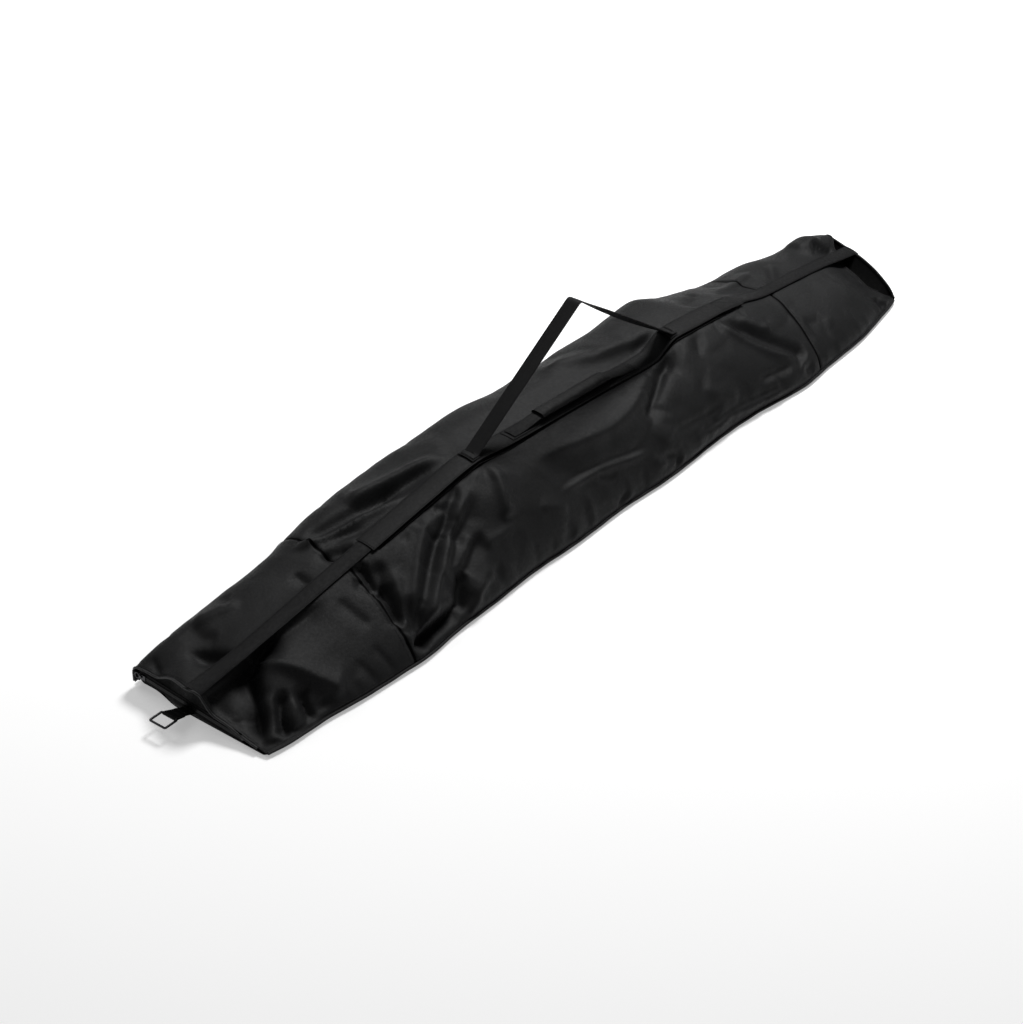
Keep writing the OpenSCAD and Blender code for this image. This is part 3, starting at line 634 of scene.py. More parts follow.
def ripple(tree, along, pitch):
    """A sine ripple of a pitch, in metres, along a coordinate."""
    return maths(tree, "SINE", maths(tree, "MULTIPLY", along, 2 * math.pi / pitch))


def two_tones(tree, factor, dark, light):
    mix = node(tree, "Mix", data_type="RGBA")
    tree.links.new(factor, mix.inputs["Factor"])
    mix.inputs[6].default_value = (*dark, 1)
    mix.inputs[7].default_value = (*light, 1)
    return mix.outputs[2]


def spread(tree, value, low, high):
    """A 0 to 1 value, sharpened between 0.3 and 0.7 and spread from low to high."""
    return node(tree, "MapRange", {0: value, 1: 0.3, 2: 0.7, 3: low, 4: high}).outputs[0]


def cloth_material(name, dark, light, pattern, rough, specular, bump=0.5, crinkle=0.35,
                   object_space=False):
    """A woven material. pattern(tree, along, across) gives the height of its yarns, -1 to 1."""
    mat, shader = new_material(name)
    tree = mat.node_tree
    place = node(tree, "TexCoord").outputs["Object"]
    weave = place if object_space else node(tree, "UVMap", uv_map="weave").outputs[0]
    parts = node(tree, "SeparateXYZ", {0: weave})
    yarns = pattern(tree, parts.outputs[0], parts.outputs[1])
    broad = node(tree, "TexNoise", {"Vector": place, "Scale": 14, "Detail": 4}).outputs[0]
    fine = node(tree, "TexNoise", {"Vector": place, "Scale": 190, "Detail": 5}).outputs[0]
    tone = maths(tree, "ADD", maths(tree, "MULTIPLY", yarns, 0.18), spread(tree, broad, 0.2, 0.8))
    tree.links.new(two_tones(tree, tone, dark, light), shader.inputs["Base Color"])
    tree.links.new(spread(tree, fine, *rough), shader.inputs["Roughness"])
    shader.inputs["Specular IOR Level"].default_value = specular
    small = node(tree, "Bump", {"Height": yarns, "Strength": bump, "Distance": 0.00012})
    large = node(tree, "Bump", {"Height": fine, "Strength": crinkle, "Distance": 0.0012,
                                "Normal": small.outputs[0]})
    tree.links.new(large.outputs[0], shader.inputs["Normal"])
    return mat


def plain_weave(pitch):
    def pattern(tree, along, across):
        return maths(tree, "MULTIPLY", ripple(tree, along, pitch), ripple(tree, across, pitch))
    return pattern


def twill_webbing(pitch):
    """Ribs across the webbing in a shallow herringbone, as in flat polypropylene webbing."""
    def pattern(tree, along, across):
        fold = maths(tree, "ABSOLUTE", maths(tree, "SINE", maths(tree, "MULTIPLY", across, 830)))
        slant = maths(tree, "ADD", along, maths(tree, "MULTIPLY", fold, 0.0016))
        ribs = maths(tree, "MULTIPLY", ripple(tree, slant, pitch), 0.7)
        return maths(tree, "ADD", ribs, maths(tree, "MULTIPLY", ripple(tree, across, 0.0009), 0.3))
    return pattern


def cord_pattern(tree, along, across):
    return ripple(tree, maths(tree, "ADD", along, across), 0.0011)


def coil_pattern(tree, along, across):
    return ripple(tree, along, 0.0016)


def hard_material(name, colour, metallic, rough, grain=0.15):
    """Metal or moulded plastic with fine handling marks."""
    mat, shader = new_material(name)
    tree = mat.node_tree
    place = node(tree, "TexCoord").outputs["Object"]
    marks = node(tree, "TexNoise", {"Vector": place, "Scale": 900, "Detail": 6}).outputs[0]
    wear = node(tree, "TexNoise", {"Vector": place, "Scale": 60, "Detail": 3}).outputs[0]
    light = tuple(min(1.0, c * 1.35) for c in colour)
    tone = two_tones(tree, spread(tree, wear, 0, 1), colour, light)
    tree.links.new(tone, shader.inputs["Base Color"])
    tree.links.new(spread(tree, marks, *rough), shader.inputs["Roughness"])
    shader.inputs["Metallic"].default_value = metallic
    bump = node(tree, "Bump", {"Height": marks, "Strength": grain, "Distance": 0.0002})
    tree.links.new(bump.outputs[0], shader.inputs["Normal"])
    return mat


MATT_BLACK = (0.0058, 0.0058, 0.0061), (0.0085, 0.0086, 0.0088)
MAT = {
    "body": cloth_material("body_fabric", (0.0071, 0.0072, 0.0075), (0.0105, 0.0107, 0.0111),
                           plain_weave(0.0009), rough=(0.46, 0.6), specular=0.14),
    "end": cloth_material("end_fabric", *MATT_BLACK, plain_weave(0.0009), rough=(0.5, 0.64),
                          specular=0.10),
    # Near-black cloth as painted shade: it darkens the cross seams' grooves, the gap under the zip's
    # cover and the far end's hollow.
    "inside": cloth_material("painted_shade_black", (0.0008, 0.0008, 0.0009), (0.0014, 0.0014, 0.0014),
                             plain_weave(0.0009), rough=(0.7, 0.85), specular=0.04),
    "placket": cloth_material("placket_fabric", *MATT_BLACK, plain_weave(0.0010), rough=(0.48, 0.62),
                              specular=0.11),
    "sleeve": cloth_material("sleeve_fabric", *MATT_BLACK, plain_weave(0.0013), rough=(0.5, 0.62),
                             specular=0.12),
    "webbing": cloth_material("webbing_black", (0.0041, 0.0041, 0.0044), (0.0071, 0.0071, 0.0075),
                              twill_webbing(0.0021), rough=(0.5, 0.68), specular=0.11, bump=0.9,
                              crinkle=0.12),
    "piping": cloth_material("piping_black", (0.0048, 0.0048, 0.0051), (0.0082, 0.0082, 0.0085),
                             cord_pattern, rough=(0.45, 0.6), specular=0.20, bump=0.6),
    "lip": cloth_material("lip_piping_grey", (0.0075, 0.0076, 0.0082), (0.0129, 0.0132, 0.0139),
                          cord_pattern, rough=(0.36, 0.5), specular=0.29, bump=0.6),
    "thread": cloth_material("thread_black", (0.0068, 0.0068, 0.0071), (0.0116, 0.0116, 0.0122),
                             cord_pattern, rough=(0.4, 0.55), specular=0.24),
    "tape": cloth_material("zip_tape_black", (0.0020, 0.0020, 0.0022), (0.0041, 0.0041, 0.0043),
                           twill_webbing(0.0012), rough=(0.55, 0.7), specular=0.07),
    "cad_tape": cloth_material("zip_tape_hidden", (0.0044, 0.0044, 0.0048), (0.0075, 0.0075, 0.0078),
                               plain_weave(0.0008), rough=(0.5, 0.65), specular=0.14,
                               object_space=True),
    "coil": cloth_material("zip_coil_black", (0.0034, 0.0034, 0.0036), (0.0061, 0.0061, 0.0065),
                           coil_pattern, rough=(0.34, 0.46), specular=0.19, bump=1.0,
                           object_space=True),
    "zip_metal": hard_material("zip_metal_dark", (0.05, 0.05, 0.053), 1.0, (0.28, 0.45)),
    "puller": hard_material("puller_black", (0.01, 0.01, 0.0105), 0.0, (0.38, 0.55)),
    "ring": hard_material("ring_dark_metal", (0.06, 0.06, 0.063), 1.0, (0.25, 0.4)),
    "loop": hard_material("loop_steel", (0.035, 0.035, 0.037), 1.0, (0.2, 0.38), grain=0.1),
}


def place(obj, slot, *nodes, body="bag"):
    """Rides the piece on a body and hides the CAD nodes that it stands for. slot is not used."""
    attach(obj, body)
    if nodes:
        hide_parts(*nodes)
    return obj


# ---- Settling the cloth ----
SETTLE_ROUNDS = 14
BENDING = 0.09              # how strongly each round flattens a crease


def neighbours(n, m, di, dj):
    """Pairs of grid points (di, dj) apart, in groups where no point is in two pairs."""
    i, j = np.meshgrid(np.arange(n), np.arange(m), indexing="ij")
    ok = (i + di < n) & (j + dj >= 0) & (j + dj < m)
    i, j = i[ok], j[ok]
    key = (i // max(di, 1)) % 2 if di else (j // max(dj, 1)) % 2
    return [(i[key == k] * m + j[key == k], (i[key == k] + di) * m + j[key == k] + dj)
            for k in (0, 1)]


def blurred(x, size, axis):
    """A running mean along one axis."""
    pad = [(0, 0), (0, 0)]
    pad[axis] = (size, size)
    total = np.cumsum(np.pad(x, pad, mode="edge"), axis=axis)
    a = np.take(total, np.arange(2 * size, total.shape[axis]), axis=axis)
    b = np.take(total, np.arange(0, total.shape[axis] - 2 * size), axis=axis)
    return (a - b) / (2 * size)


def settle(p, pinned):
    """Lets a grid of cloth move until its threads keep their lengths: bumps turn into creases."""
    n, m = p.shape[:2]
    long_s, long_u = (np.linalg.norm(np.diff(p, axis=k), axis=-1) for k in (0, 1))
    long_s = np.minimum(blurred(long_s, 7, 1), long_s)
    long_u = np.minimum(blurred(long_u, 7, 0), long_u)
    flat, free = p.reshape(-1, 3).copy(), (~pinned).astype(float).ravel()[:, None]
    rest_s, rest_u = np.zeros((n, m)), np.zeros((n, m))
    rest_s[:-1], rest_u[:, :-1] = long_s, long_u
    rules = []
    for di, dj, stiff in ((1, 0, 1.0), (0, 1, 1.0), (1, 1, 0.35), (1, -1, 0.35)):
        for a, b in neighbours(n, m, di, dj):
            rs = rest_s.ravel()[a] * di
            ru = rest_u.ravel()[np.minimum(a, b) if dj < 0 else a] * abs(dj)
            if di and dj:
                ru = np.where(ru > 0, ru, rest_u.ravel()[np.maximum(a - 1, 0)])
            rules.append((a, b, np.sqrt(rs**2 + ru**2)[:, None], stiff))
    for _ in range(SETTLE_ROUNDS):
        for a, b, rest, stiff in rules:
            d = flat[b] - flat[a]
            length = np.maximum(np.linalg.norm(d, axis=1, keepdims=True), 1e-6)
            move = d * (0.5 * stiff * (length - rest) / length)
            flat[a] += move * free[a]
            flat[b] -= move * free[b]
        q = flat.reshape(n, m, 3)
        mean = (q[:-2, 1:-1] + q[2:, 1:-1] + q[1:-1, :-2] + q[1:-1, 2:]) / 4
        q[1:-1, 1:-1] += BENDING * (mean - q[1:-1, 1:-1]) * free.reshape(n, m, 1)[1:-1, 1:-1]
    return flat.reshape(n, m, 3)


def edge_pins(u, top):
    """The points that sewing holds: rows along each seam, and all that lies under the top strip."""
    pinned = u < top
    pinned[:3], pinned[-3:], pinned[:, :2], pinned[:, -2:] = True, True, True, True
    return pinned


# ---- Panels ----
def edge_rows(long, step):
    """Distances from 0 to long, closer together at both ends."""
    fine = (0, 1.3, 2.8, 4.6, 7.0, 10.0)
    inner = np.linspace(fine[-1], long - fine[-1], max(2, int((long - 2 * fine[-1]) / step)))
    return np.r_[fine[:-1], inner, long - np.array(fine[-2::-1])]


def panel(name, half, start, stop, top):
    """One body panel, from start to stop along the bag and from u = top down to the base seam."""
    long = float(stop(half, 0.5) - start(half, 0.5))
    a = edge_rows(long, 3.6) / long
    b = edge_rows(230.0, 3.4) / 230.0
    a, b = np.meshgrid(a, b, indexing="ij")
    v = b.copy()
    for _ in range(2):
        s = start(half, v) + (stop(half, v) - start(half, v)) * a
        v0 = top / half.girth(s)
        v = v0 + (1 - v0) * b
    u = v * half.girth(s)
    points = skin(half, s, u)
    points = settle(points, edge_pins(u, 25 if "mid" in name else 8))
    obj = sheet_piece(f"{name}_fabric", points, 0.7, grid(s, u), MAT["body"], half.side)
    place(obj, "body_fabric", name)


def mouth_line(half, v):
    return np.zeros_like(v)


def make_panels():
    for half, side, mid_top in ((left_half, "left", 2.0), (right_half, "right", 9.0)):
        for part, start, stop, top in (("near", mouth_line, near_seam, 1.0),
                                       ("mid", near_seam, far_seam, mid_top),
                                       ("far", far_seam, lip_line, 1.0)):
            panel(f"{side}_panel_{part}", half, start, stop, top)


def seam_fold(name, half, seam, nodes):
    """The narrow binding at the bottom of a cross seam's groove, near-black as painted shade so that the
    groove reads as a dark line.
    """
    v = np.linspace(0.03, 1, 110)
    off = np.array([-2.6, -1.9, -0.7, 0.7, 1.9, 2.6])
    rise = np.array([0.1, 0.6, 0.9, 0.9, 0.6, 0.1])
    vv, oo = np.meshgrid(v, off, indexing="ij")
    s = seam(half, vv) + oo
    u = vv * half.girth(s)
    outer = skin(half, s, u, np.broadcast_to(rise, s.shape))
    inner = skin(half, s, u, -0.9)
    pair = (inner, outer) if half.side > 0 else (outer, inner)
    place(slab(name, *pair, grid(u, oo), MAT["inside"]), "binding_tape", *nodes)


def sew(threads, half, s, u, lift=0.3):
    """A row of stitches on the creased fabric."""
    p = skin(half, s, u, lift)
    threads.row(p, unit(skin(half, s, u, lift + 1) - p))


def seam_row(threads, half, seam, off, v0=0.04, v1=0.97):
    """A row of stitches that follows a cross seam at a distance."""
    v = np.linspace(v0, v1, 120)
    s = seam(half, v) + off
    sew(threads, half, s, v * half.girth(s))


def make_cross_seams(threads):
    for half, side in ((left_half, "left"), (right_half, "right")):
        for part, seam in (("near", near_seam), ("far", far_seam)):
            seam_fold(f"{part}_seam_fold_{side}", half, seam,
                      [f"{part}_seam_binding"] if side == "left" else [])
        seam_row(threads, half, near_seam, -9)
        seam_row(threads, half, far_seam, 6)


# ---- Base and piping ----
def base_edge(half, s):
    return half.at(np.asarray(s, float), np.ones(np.shape(s)))


def make_base():
    a = np.linspace(0, 1, 240)
    b = np.r_[0, 0.006, 0.014, 0.03, np.linspace(0.06, 0.94, 30), 0.97, 0.986, 0.994, 1]
    a, b = np.meshgrid(a, b, indexing="ij")
    far = 1836 + (1888 - 1836) * b
    recess = 12 * smoothstep(0.66, 0.9, b)
    s = recess + 1.0 + (far - recess - 2) * a
    y = base_edge(right_half, s)[..., 1] * (1 - b) + base_edge(left_half, s)[..., 1] * b
    rim = np.minimum(b, 1 - b) * 300
    z = 1.5 + 4.8 * (1 - smoothstep(0, 7, rim))
    outer = grid(s + NEAR_X, y, z)
    obj = slab("base_fabric", outer, outer - [0, 0, 1.4], grid(s, y), MAT["body"])
    place(obj, "body_fabric", "base_panel")


def make_side_piping(threads):
    for half, side, stop in ((left_half, "left", 1888), (right_half, "right", 1838)):
        s = np.arange(2 if side == "right" else 10, stop, 5.0)
        line = base_edge(half, s)
        line[:, 1] += half.side * 1.2
        line[:, 2] = 6.4 + 0.35 * np.sin(s / 23.0) + 0.25 * np.sin(s / 9.0)
        place(tube(f"{side}_piping_cord", line, 2.7, MAT["piping"]), "piping", f"{side}_piping")
        sew(threads, half, s, half.girth(s) - 5, 0.25)


# ---- Strips along the top ----
def top_strip(s, w, half_width, lifts):
    """Points on a strip laid along the ridge: w across, positive to the left. lifts are its height
    over the ridge, and how far its left and right edges droop."""
    s, w = np.broadcast_arrays(np.asarray(s, float), np.asarray(w, float))
    flat = s[..., :1] if s.ndim > 1 else s
    left = skin(left_half, flat, half_width, 0.0, bare=True)
    right = skin(right_half, flat, half_width, 0.0, bare=True)
    mid = skin(left_half, flat, 0.0, 0.0, bare=True)
    level = unit(left - right)
    t = w / half_width
    p = mid + level * w[..., None]
    p[..., 2] += lifts[0] - np.where(t > 0, lifts[1], lifts[2]) * t * t
    return p


# Rows across a webbing with rounded edges: their places, and how much each edge is thinned
ACROSS = np.array([-1, -0.985, -0.95, -0.6, -0.2, 0.2, 0.6, 0.95, 0.985, 1])
THINNED = np.array([0.35, 0.1, 0, 0, 0, 0, 0, 0, 0.1, 0.35])


def thicken(name, p, n, thick, uv, material):
    """A webbing with rounded edges, as thick as given along n over the grid p."""
    low = (THINNED * thick)[:, None]
    return slab(name, p + n * low, p + n * (thick - low), uv, material)


def strip(name, s, half_width, thick, lifts, material, slot, nodes, shift=None):
    ss, ww = np.meshgrid(s, ACROSS * half_width, indexing="ij")
    p = top_strip(ss, ww, half_width, lifts)
    if shift is not None:
        p[..., 1] += shift(ss)
    n = -grid_normals(p)
    n[n[..., 2] < 0] *= -1
    place(thicken(name, p, n, thick, grid(ss, ww), material), slot, *nodes)


def strip_row(threads, s0, s1, w, half_width, lifts, height, shift=None, **kind):
    """A row of stitches along a top strip, at w across it."""
    s = np.arange(s0, s1, 4.0)
    p = top_strip(s, np.full(len(s), float(w)), half_width, lifts)
    if shift is not None:
        p[..., 1] += shift(s)
    p[..., 2] += height
    threads.row(p, **kind)


def cross_row(threads, s, w0, w1, half_width, lifts, height, **kind):
    w = np.linspace(w0, w1, 24)
    p = top_strip(np.full(24, float(s)), w, half_width, lifts)
    p[..., 2] += height
    threads.row(p, **kind)


def box_stitch(threads, s0, s1, half_width, lifts, height):
    for w in (-half_width + 2, half_width - 2):
        strip_row(threads, s0, s1, w, half_width, lifts, height)
    for s in (s0, s1):
        cross_row(threads, s, -half_width + 2, half_width - 2, half_width, lifts, height)
    t = np.linspace(0, 1, 24)
    for sign in (-1, 1):
        p = top_strip(s0 + (s1 - s0) * t, sign * (half_width - 2) * (2 * t - 1), half_width, lifts)
        p[..., 2] += height
        threads.row(p)


def near_shift(s):
    return 5.0 * (1 - smoothstep(0, 110, s))


def raised(lifts, height):
    return (lifts[0] + height, *lifts[1:])


WEB_LIFTS = (0.6, 1.2, 1.6)
PLACKET_LIFTS = (2.8, 2.4, 2.2)


def far_webbing():
    """The webbing along the far part, over the end's rim and down outside it."""
    w = ACROSS * WEB_HALF
    s = np.arange(PLACKET[1] - 16, 1871, 4.0)
    ss, ww = np.meshgrid(s, w, indexing="ij")
    p = top_strip(ss, ww, WEB_HALF, WEB_LIFTS)
    last, rows = p[-1], [p]
    for turn in np.radians([12, 30, 50, 70, 90]):
        rows.append((last + [9 + 4 * math.sin(turn), 0, -4 * (1 - math.cos(turn))])[None])
    for drop in (12, 22, 32):
        rows.append((last + [13.2, 0, -drop])[None])
    p = np.vstack(rows)
    n = -grid_normals(p)
    n[:len(s)][n[:len(s), :, 2] < 0] *= -1
    ss = np.vstack([ss, 1875 + 6.0 * np.arange(len(p) - len(s))[:, None] + 0 * ww[:1]])
    ww = np.broadcast_to(w, ss.shape)
    obj = thicken("spine_webbing_far_strip", p, n, WEB_THICK, grid(ss, ww), MAT["webbing"])
    place(obj, "webbing", "spine_webbing_far")


def make_top_strips(threads):
    s = np.arange(-1, PLACKET[0] + 14, 4.0)
    strip("spine_webbing_near_strip", s, WEB_HALF, WEB_THICK, WEB_LIFTS, MAT["webbing"], "webbing",
          ["spine_webbing_near"], shift=near_shift)
    far_webbing()
    s = np.r_[PLACKET[0], np.arange(PLACKET[0] + 3, PLACKET[1], 4.0), PLACKET[1]]
    strip("placket_cover", s, PLACKET_HALF, 1.3, PLACKET_LIFTS, MAT["placket"], "placket_fabric",
          ["placket_near", "placket_mid", "placket_far"])
    for w in (-PLACKET_HALF + 2.5, PLACKET_HALF - 3):
        strip_row(threads, PLACKET[0] + 2, PLACKET[1] - 2, w, PLACKET_HALF, PLACKET_LIFTS, 1.5)
    for w in (-WEB_HALF + 2, WEB_HALF - 2):
        strip_row(threads, 6, PLACKET[0] - 2, w, WEB_HALF, WEB_LIFTS, 2.0, near_shift)
        strip_row(threads, PLACKET[1] + 2, 1868, w, WEB_HALF, WEB_LIFTS, 2.0)
    cross_row(threads, PLACKET[0] + 3, -18, 18, PLACKET_HALF, PLACKET_LIFTS, 1.5)
    box_stitch(threads, 1400, 1452, PLACKET_HALF - 3, PLACKET_LIFTS, 2.2)


def make_zip_gap_shade():
    """The main zip's tape where it shows between its cover and the right panel, near-black as painted
    shade for the shadow gap under the cover's edge.
    """
    s = np.arange(PLACKET[0] + 12, PLACKET[1] - 50, 5.0)
    s, u = np.meshgrid(s, np.array([15.0, 17.0, 19.0, 21.0, 23.0]), indexing="ij")
    points = skin(right_half, s, u, 0.9)
    obj = sheet_piece("main_zip_tape_gap_shade", points, 0.6, grid(s, u), MAT["inside"], right_half.side)
    place(obj, "zip_tape")


# ---- Carry strap ----
ANCHORS = (671.0, 1245.0)
PEAK = (960.0, 349.0)


def flat_ribbon(name, line, half_width, thick, material, y=0.0, twist=0.0):
    """A flat webbing as wide as y that follows a line of (x, z) points. It rolls by twist, in
    degrees, about its own length, most in its middle."""
    line = np.asarray(line, float)
    along = unit(np.gradient(line, axis=0))
    normal = np.stack([-along[:, 1], along[:, 0]], axis=-1)
    w, low = ACROSS * half_width, THINNED * thick
    roll = np.radians(twist) * np.sin(np.linspace(0, np.pi, len(line)))[:, None] ** 0.7

    def layer(height):
        rise = height[None] * np.cos(roll) + w[None] * np.sin(roll)
        side = w[None] * np.cos(roll) - height[None] * np.sin(roll)
        return np.stack([line[:, None, 0] + normal[:, None, 0] * rise, y + side,
                         line[:, None, 1] + normal[:, None, 1] * rise], axis=-1)

    return slab(name, layer(low), layer(thick - low), grid(distances(line)[:, None], w), material)


def ridge_z(s):
    return float(left_half.at(np.array(s), np.array(0.0))[2])


def rounded_path(points, radii):
    """A line of straight runs joined by arcs, in short steps."""
    p = [np.array(q, float) for q in points]
    out = [p[0]]
    for a, b, c, r in zip(p, p[1:], p[2:], radii):
        d, e = unit(b - a), unit(c - b)
        turn = math.acos(float(np.clip(d @ e, -1, 1)))
        cut = r * math.tan(turn / 2)
        start, stop = b - d * cut, b + e * cut
        for t in np.linspace(0, 1, 9):
            out.append((1 - t) ** 2 * start + 2 * t * (1 - t) * b + t * t * stop)
    out.append(p[-1])
    return resampled(np.array(out))


def make_carry_strap(threads):
    near, far = ((s + NEAR_X, ridge_z(s) + 4.6) for s in ANCHORS)
    peak = (PEAK[0] + NEAR_X, PEAK[1])
    first = rounded_path([(near[0] - 9, near[1]), (near[0] + 5, near[1]),
                          (peak[0] - 7, peak[1] - 4.5)], [14])
    down = unit(np.array(far) - np.array(peak))
    knee = rounded_path([first[-1], peak, np.array(peak) + down * 30], [11])
    second = rounded_path([knee[-1], (far[0] - 7, far[1] + 1.0), (far[0] + 9, far[1] - 1.2)], [14])
    sag = np.sin(np.linspace(0, np.pi, len(second)))
    second[:, 1] -= 2.5 * sag
    first = np.vstack([first, knee[1:]])
    for name, line, spot, sign in (("carry_strap_near_leg", first, near, 1),
                                   ("carry_strap_far_leg", second, far, -1)):
        obj = flat_ribbon(name, line, WEB_HALF, WEB_THICK, MAT["webbing"],
                          twist=0 if sign > 0 else -17)
        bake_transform(obj)
        if sign > 0:
            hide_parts("carry_strap")
    for name, s in zip(("strap_anchor_near", "strap_anchor_far"), ANCHORS):
        lifts = raised(PLACKET_LIFTS, 3.2)
        strip(name + "_patch", np.linspace(s - 13, s + 7, 9), 17, 1.4, lifts, MAT["webbing"],
              "webbing", [name])
        for d in (-11, -8.5, 2.5, 5):
            for k in (0, 0.7):
                cross_row(threads, s + d + k, -15, 15, 17, lifts, 1.7, pitch=2.2, long=1.9)


# ---- Grab handle ----
HANDLE = (770.0, 1137.0)
SLEEVE = (856.0, 1050.0)
HANDLE_Y = -1.0
HANDLE_LIFTS = raised(PLACKET_LIFTS, 1.4)


def handle_rise(s):
    """Height of the handle's webbing over its base patch."""
    return 7.5 * smoothstep(HANDLE[0] + 26, SLEEVE[0] + 8, s) * (1 - smoothstep(SLEEVE[1] - 8,
                                                                          HANDLE[1] - 26, s))


def handle_layer(name, s, half_width, thick, lift, material):
    """One webbing of the handle: the grid along the ridge at lift over the placket."""
    ss, ww = np.meshgrid(s, ACROSS * half_width, indexing="ij")
    p = top_strip(ss, ww + HANDLE_Y, PLACKET_HALF, HANDLE_LIFTS)
    p[..., 2] += lift
    return thicken(name, p, np.array([0, 0, 1.0]), thick, grid(ss, ww), material)


def make_handle(threads):
    obj = handle_layer("grab_handle_base_patch", np.linspace(*HANDLE, 90), 15, 1.3, 0.0,
                       MAT["placket"])
    place(obj, "webbing", "grab_handle_base")
    middle = (SLEEVE[0] + SLEEVE[1]) / 2
    for part, s0, s1, blend_to in (("near", HANDLE[0] + 8, middle, SLEEVE[0] - 4),
                                   ("far", middle, HANDLE[1] - 8, SLEEVE[1] + 4)):
        s = np.linspace(s0, s1, int((s1 - s0) / 3.5) + 1)
        obj = handle_layer(f"grab_handle_webbing_{part}", s, 12, 1.7,
                           handle_rise(s)[:, None] + 1.5, MAT["webbing"])
        inward = 1 if part == "near" else -1
        sewn = s0 if inward > 0 else s1
        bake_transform(obj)
        if inward > 0:
            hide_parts("grab_handle_webbing")
        box_stitch(threads, *sorted((sewn, sewn + inward * 20)), 11, HANDLE_LIFTS, 3.7)
    make_sleeve()


def make_sleeve():
    """The padded tube round the handle's webbing, open at both ends."""
    s = np.linspace(*SLEEVE, 66)
    turn = np.linspace(0, 2 * np.pi, 41)
    full = 1 - 0.22 * smoothstep(0.86, 1, np.abs(np.linspace(-1, 1, len(s))))
    rings = []
    for shrink in (0.0, 1.5):
        w = (14.0 - shrink) * np.sign(np.cos(turn)) * np.abs(np.cos(turn)) ** 0.8
        h = (6.6 - shrink) * np.sign(np.sin(turn)) * np.abs(np.sin(turn)) ** 0.9
        ss, ww = np.meshgrid(s, w, indexing="ij")
        p = top_strip(ss, 0 * ww + HANDLE_Y, PLACKET_HALF, HANDLE_LIFTS)
        side = top_strip(s, np.full(len(s), 8.0), PLACKET_HALF, HANDLE_LIFTS) - top_strip(
            s, np.full(len(s), -8.0), PLACKET_HALF, HANDLE_LIFTS)
        side = unit(side)[:, None]
        lift = handle_rise(ss) + 3.4 + h[None] * full[:, None]
        p = p + side * ww[..., None]
        p[..., 2] += lift + 0.35 * np.sin(ss / 7.0) * np.maximum(np.sin(turn), 0)[None]
        rings.append(p)
    uv = np.stack(np.meshgrid(s, turn * 9, indexing="ij"), axis=-1)
    obj = slab("grab_handle_sleeve_pad", rings[1], rings[0], uv, MAT["sleeve"])
    place(obj, "sleeve_fabric", "grab_handle_sleeve", body="grab_grip")


# ---- Mouth end ----
def zip_line_z(y):
    """Height of the end zip's line across the mouth, from its left end to its right."""
    return 28.0 + (y - 138.0) * 17.0 / 226.0


def lip_points():
    """The mouth's lip, from the right corner over the top to the left corner."""
    v = np.linspace(1, 0, 46)
    right = skin(right_half, 0.0, v * right_half.girth(0.0))
    left = skin(left_half, 0.0, (1 - v) * left_half.girth(0.0))
    return np.vstack([right[:-1], left])


def make_mouth(threads):
    lip = lip_points()
    keep = (lip[:, 1] > -134) & (lip[:, 2] > 9.5)
    line = lip[keep] - [1.6, 0, 0]
    place(tube("mouth_lip_piping", line, 2.0, MAT["lip"]), "piping", "near_lip_piping")
    hood_and_band(lip)
    for s in (2.5, 6.0):
        for half, first, last in ((right_half, 0.95, 0.09), (left_half, 0.1, 0.95)):
            sew(threads, half, s, np.linspace(first, last, 60) * half.girth(s))


def hood_and_band(lip):
    t = np.linspace(0, 1, 16)
    y = lip[:, 1]
    low = np.minimum(zip_line_z(y) + 7.0, lip[:, 2] - 1.0)
    gap = lip[:, 2] - low
    rows = lip[:, None, :] * (1 - t)[None, :, None]
    foot = grid(NEAR_X + 0.9, y, low)
    rows = rows + foot[:, None] * t[None, :, None]
    hollow = np.clip(gap / 26, 0, 1)[:, None] * np.sin(np.pi * np.sqrt(t))[None]
    waves = fabric_waves(5, y, (0.5, 1.4), (6, 16))
    rows[..., 0] += 7.5 * hollow + waves[:, None] * hollow * 0.6
    uv = grid(distances(lip)[:, None], 60 * t)
    obj = sheet_piece("mouth_hood_fabric", rows, 0.8, uv, MAT["end"], side_of(rows))
    place(obj, "body_fabric", "near_end_hood")
    y = np.linspace(-139, 150, 110)
    top = np.minimum(zip_line_z(y) - 7.0, 6.0 + 2.0 * np.abs(y + 150) ** 0.5)
    lift = smoothstep(58, 104, y)
    low = 1.0 + 11.0 * lift
    top = np.maximum(top, low + 2.5)
    t = np.linspace(0, 1, 9)
    z = top[:, None] * (1 - t) + low[:, None] * t
    x = NEAR_X + 0.9 + 10 * lift[:, None] * t[None] - 2.2 * np.sin(np.pi * t)[None] + 1.2 * t[None]
    corner = smoothstep(118, 152, np.abs(y))[:, None] * 5
    rows = grid(x + corner, y[:, None], z)
    uv = grid(y[:, None], z)
    obj = sheet_piece("mouth_band_fabric", rows, 0.8, uv, MAT["end"], side_of(rows))
    place(obj, "body_fabric", "near_end_band")


def side_of(rows, axis=0, sign=-1):
    """1 where a grid's normals point to the given sign of an axis, and -1 otherwise."""
    return 1 if grid_normals(rows)[..., axis].mean() * sign > 0 else -1


def fabric_waves(seed, y, heights, pitches):
    """Uneven waves along y: the sum of four, of random height and length."""
    rng = np.random.default_rng(seed)
    return sum(rng.uniform(*heights) * np.sin(y / rng.uniform(*pitches) + rng.uniform(0, 6))
               for _ in range(4))


def make_end_zip():
    """Woven tapes beside the end zip's coil."""
    for name, low, high in (("upper", 2.0, 9.0), ("lower", -9.0, -2.0)):
        y = np.linspace(138, -88, 90)
        h = np.linspace(low, high, 5)
        z = zip_line_z(y)[:, None] + h[None]
        rows = grid(NEAR_X + 0.35, y[:, None], z)
        uv = grid(y[:, None], h)
        obj = sheet_piece(f"end_zip_tape_{name}_weave", rows, 0.6, uv, MAT["tape"], side_of(rows))
        place(obj, "zip_tape", f"end_zip_tape_{name}")


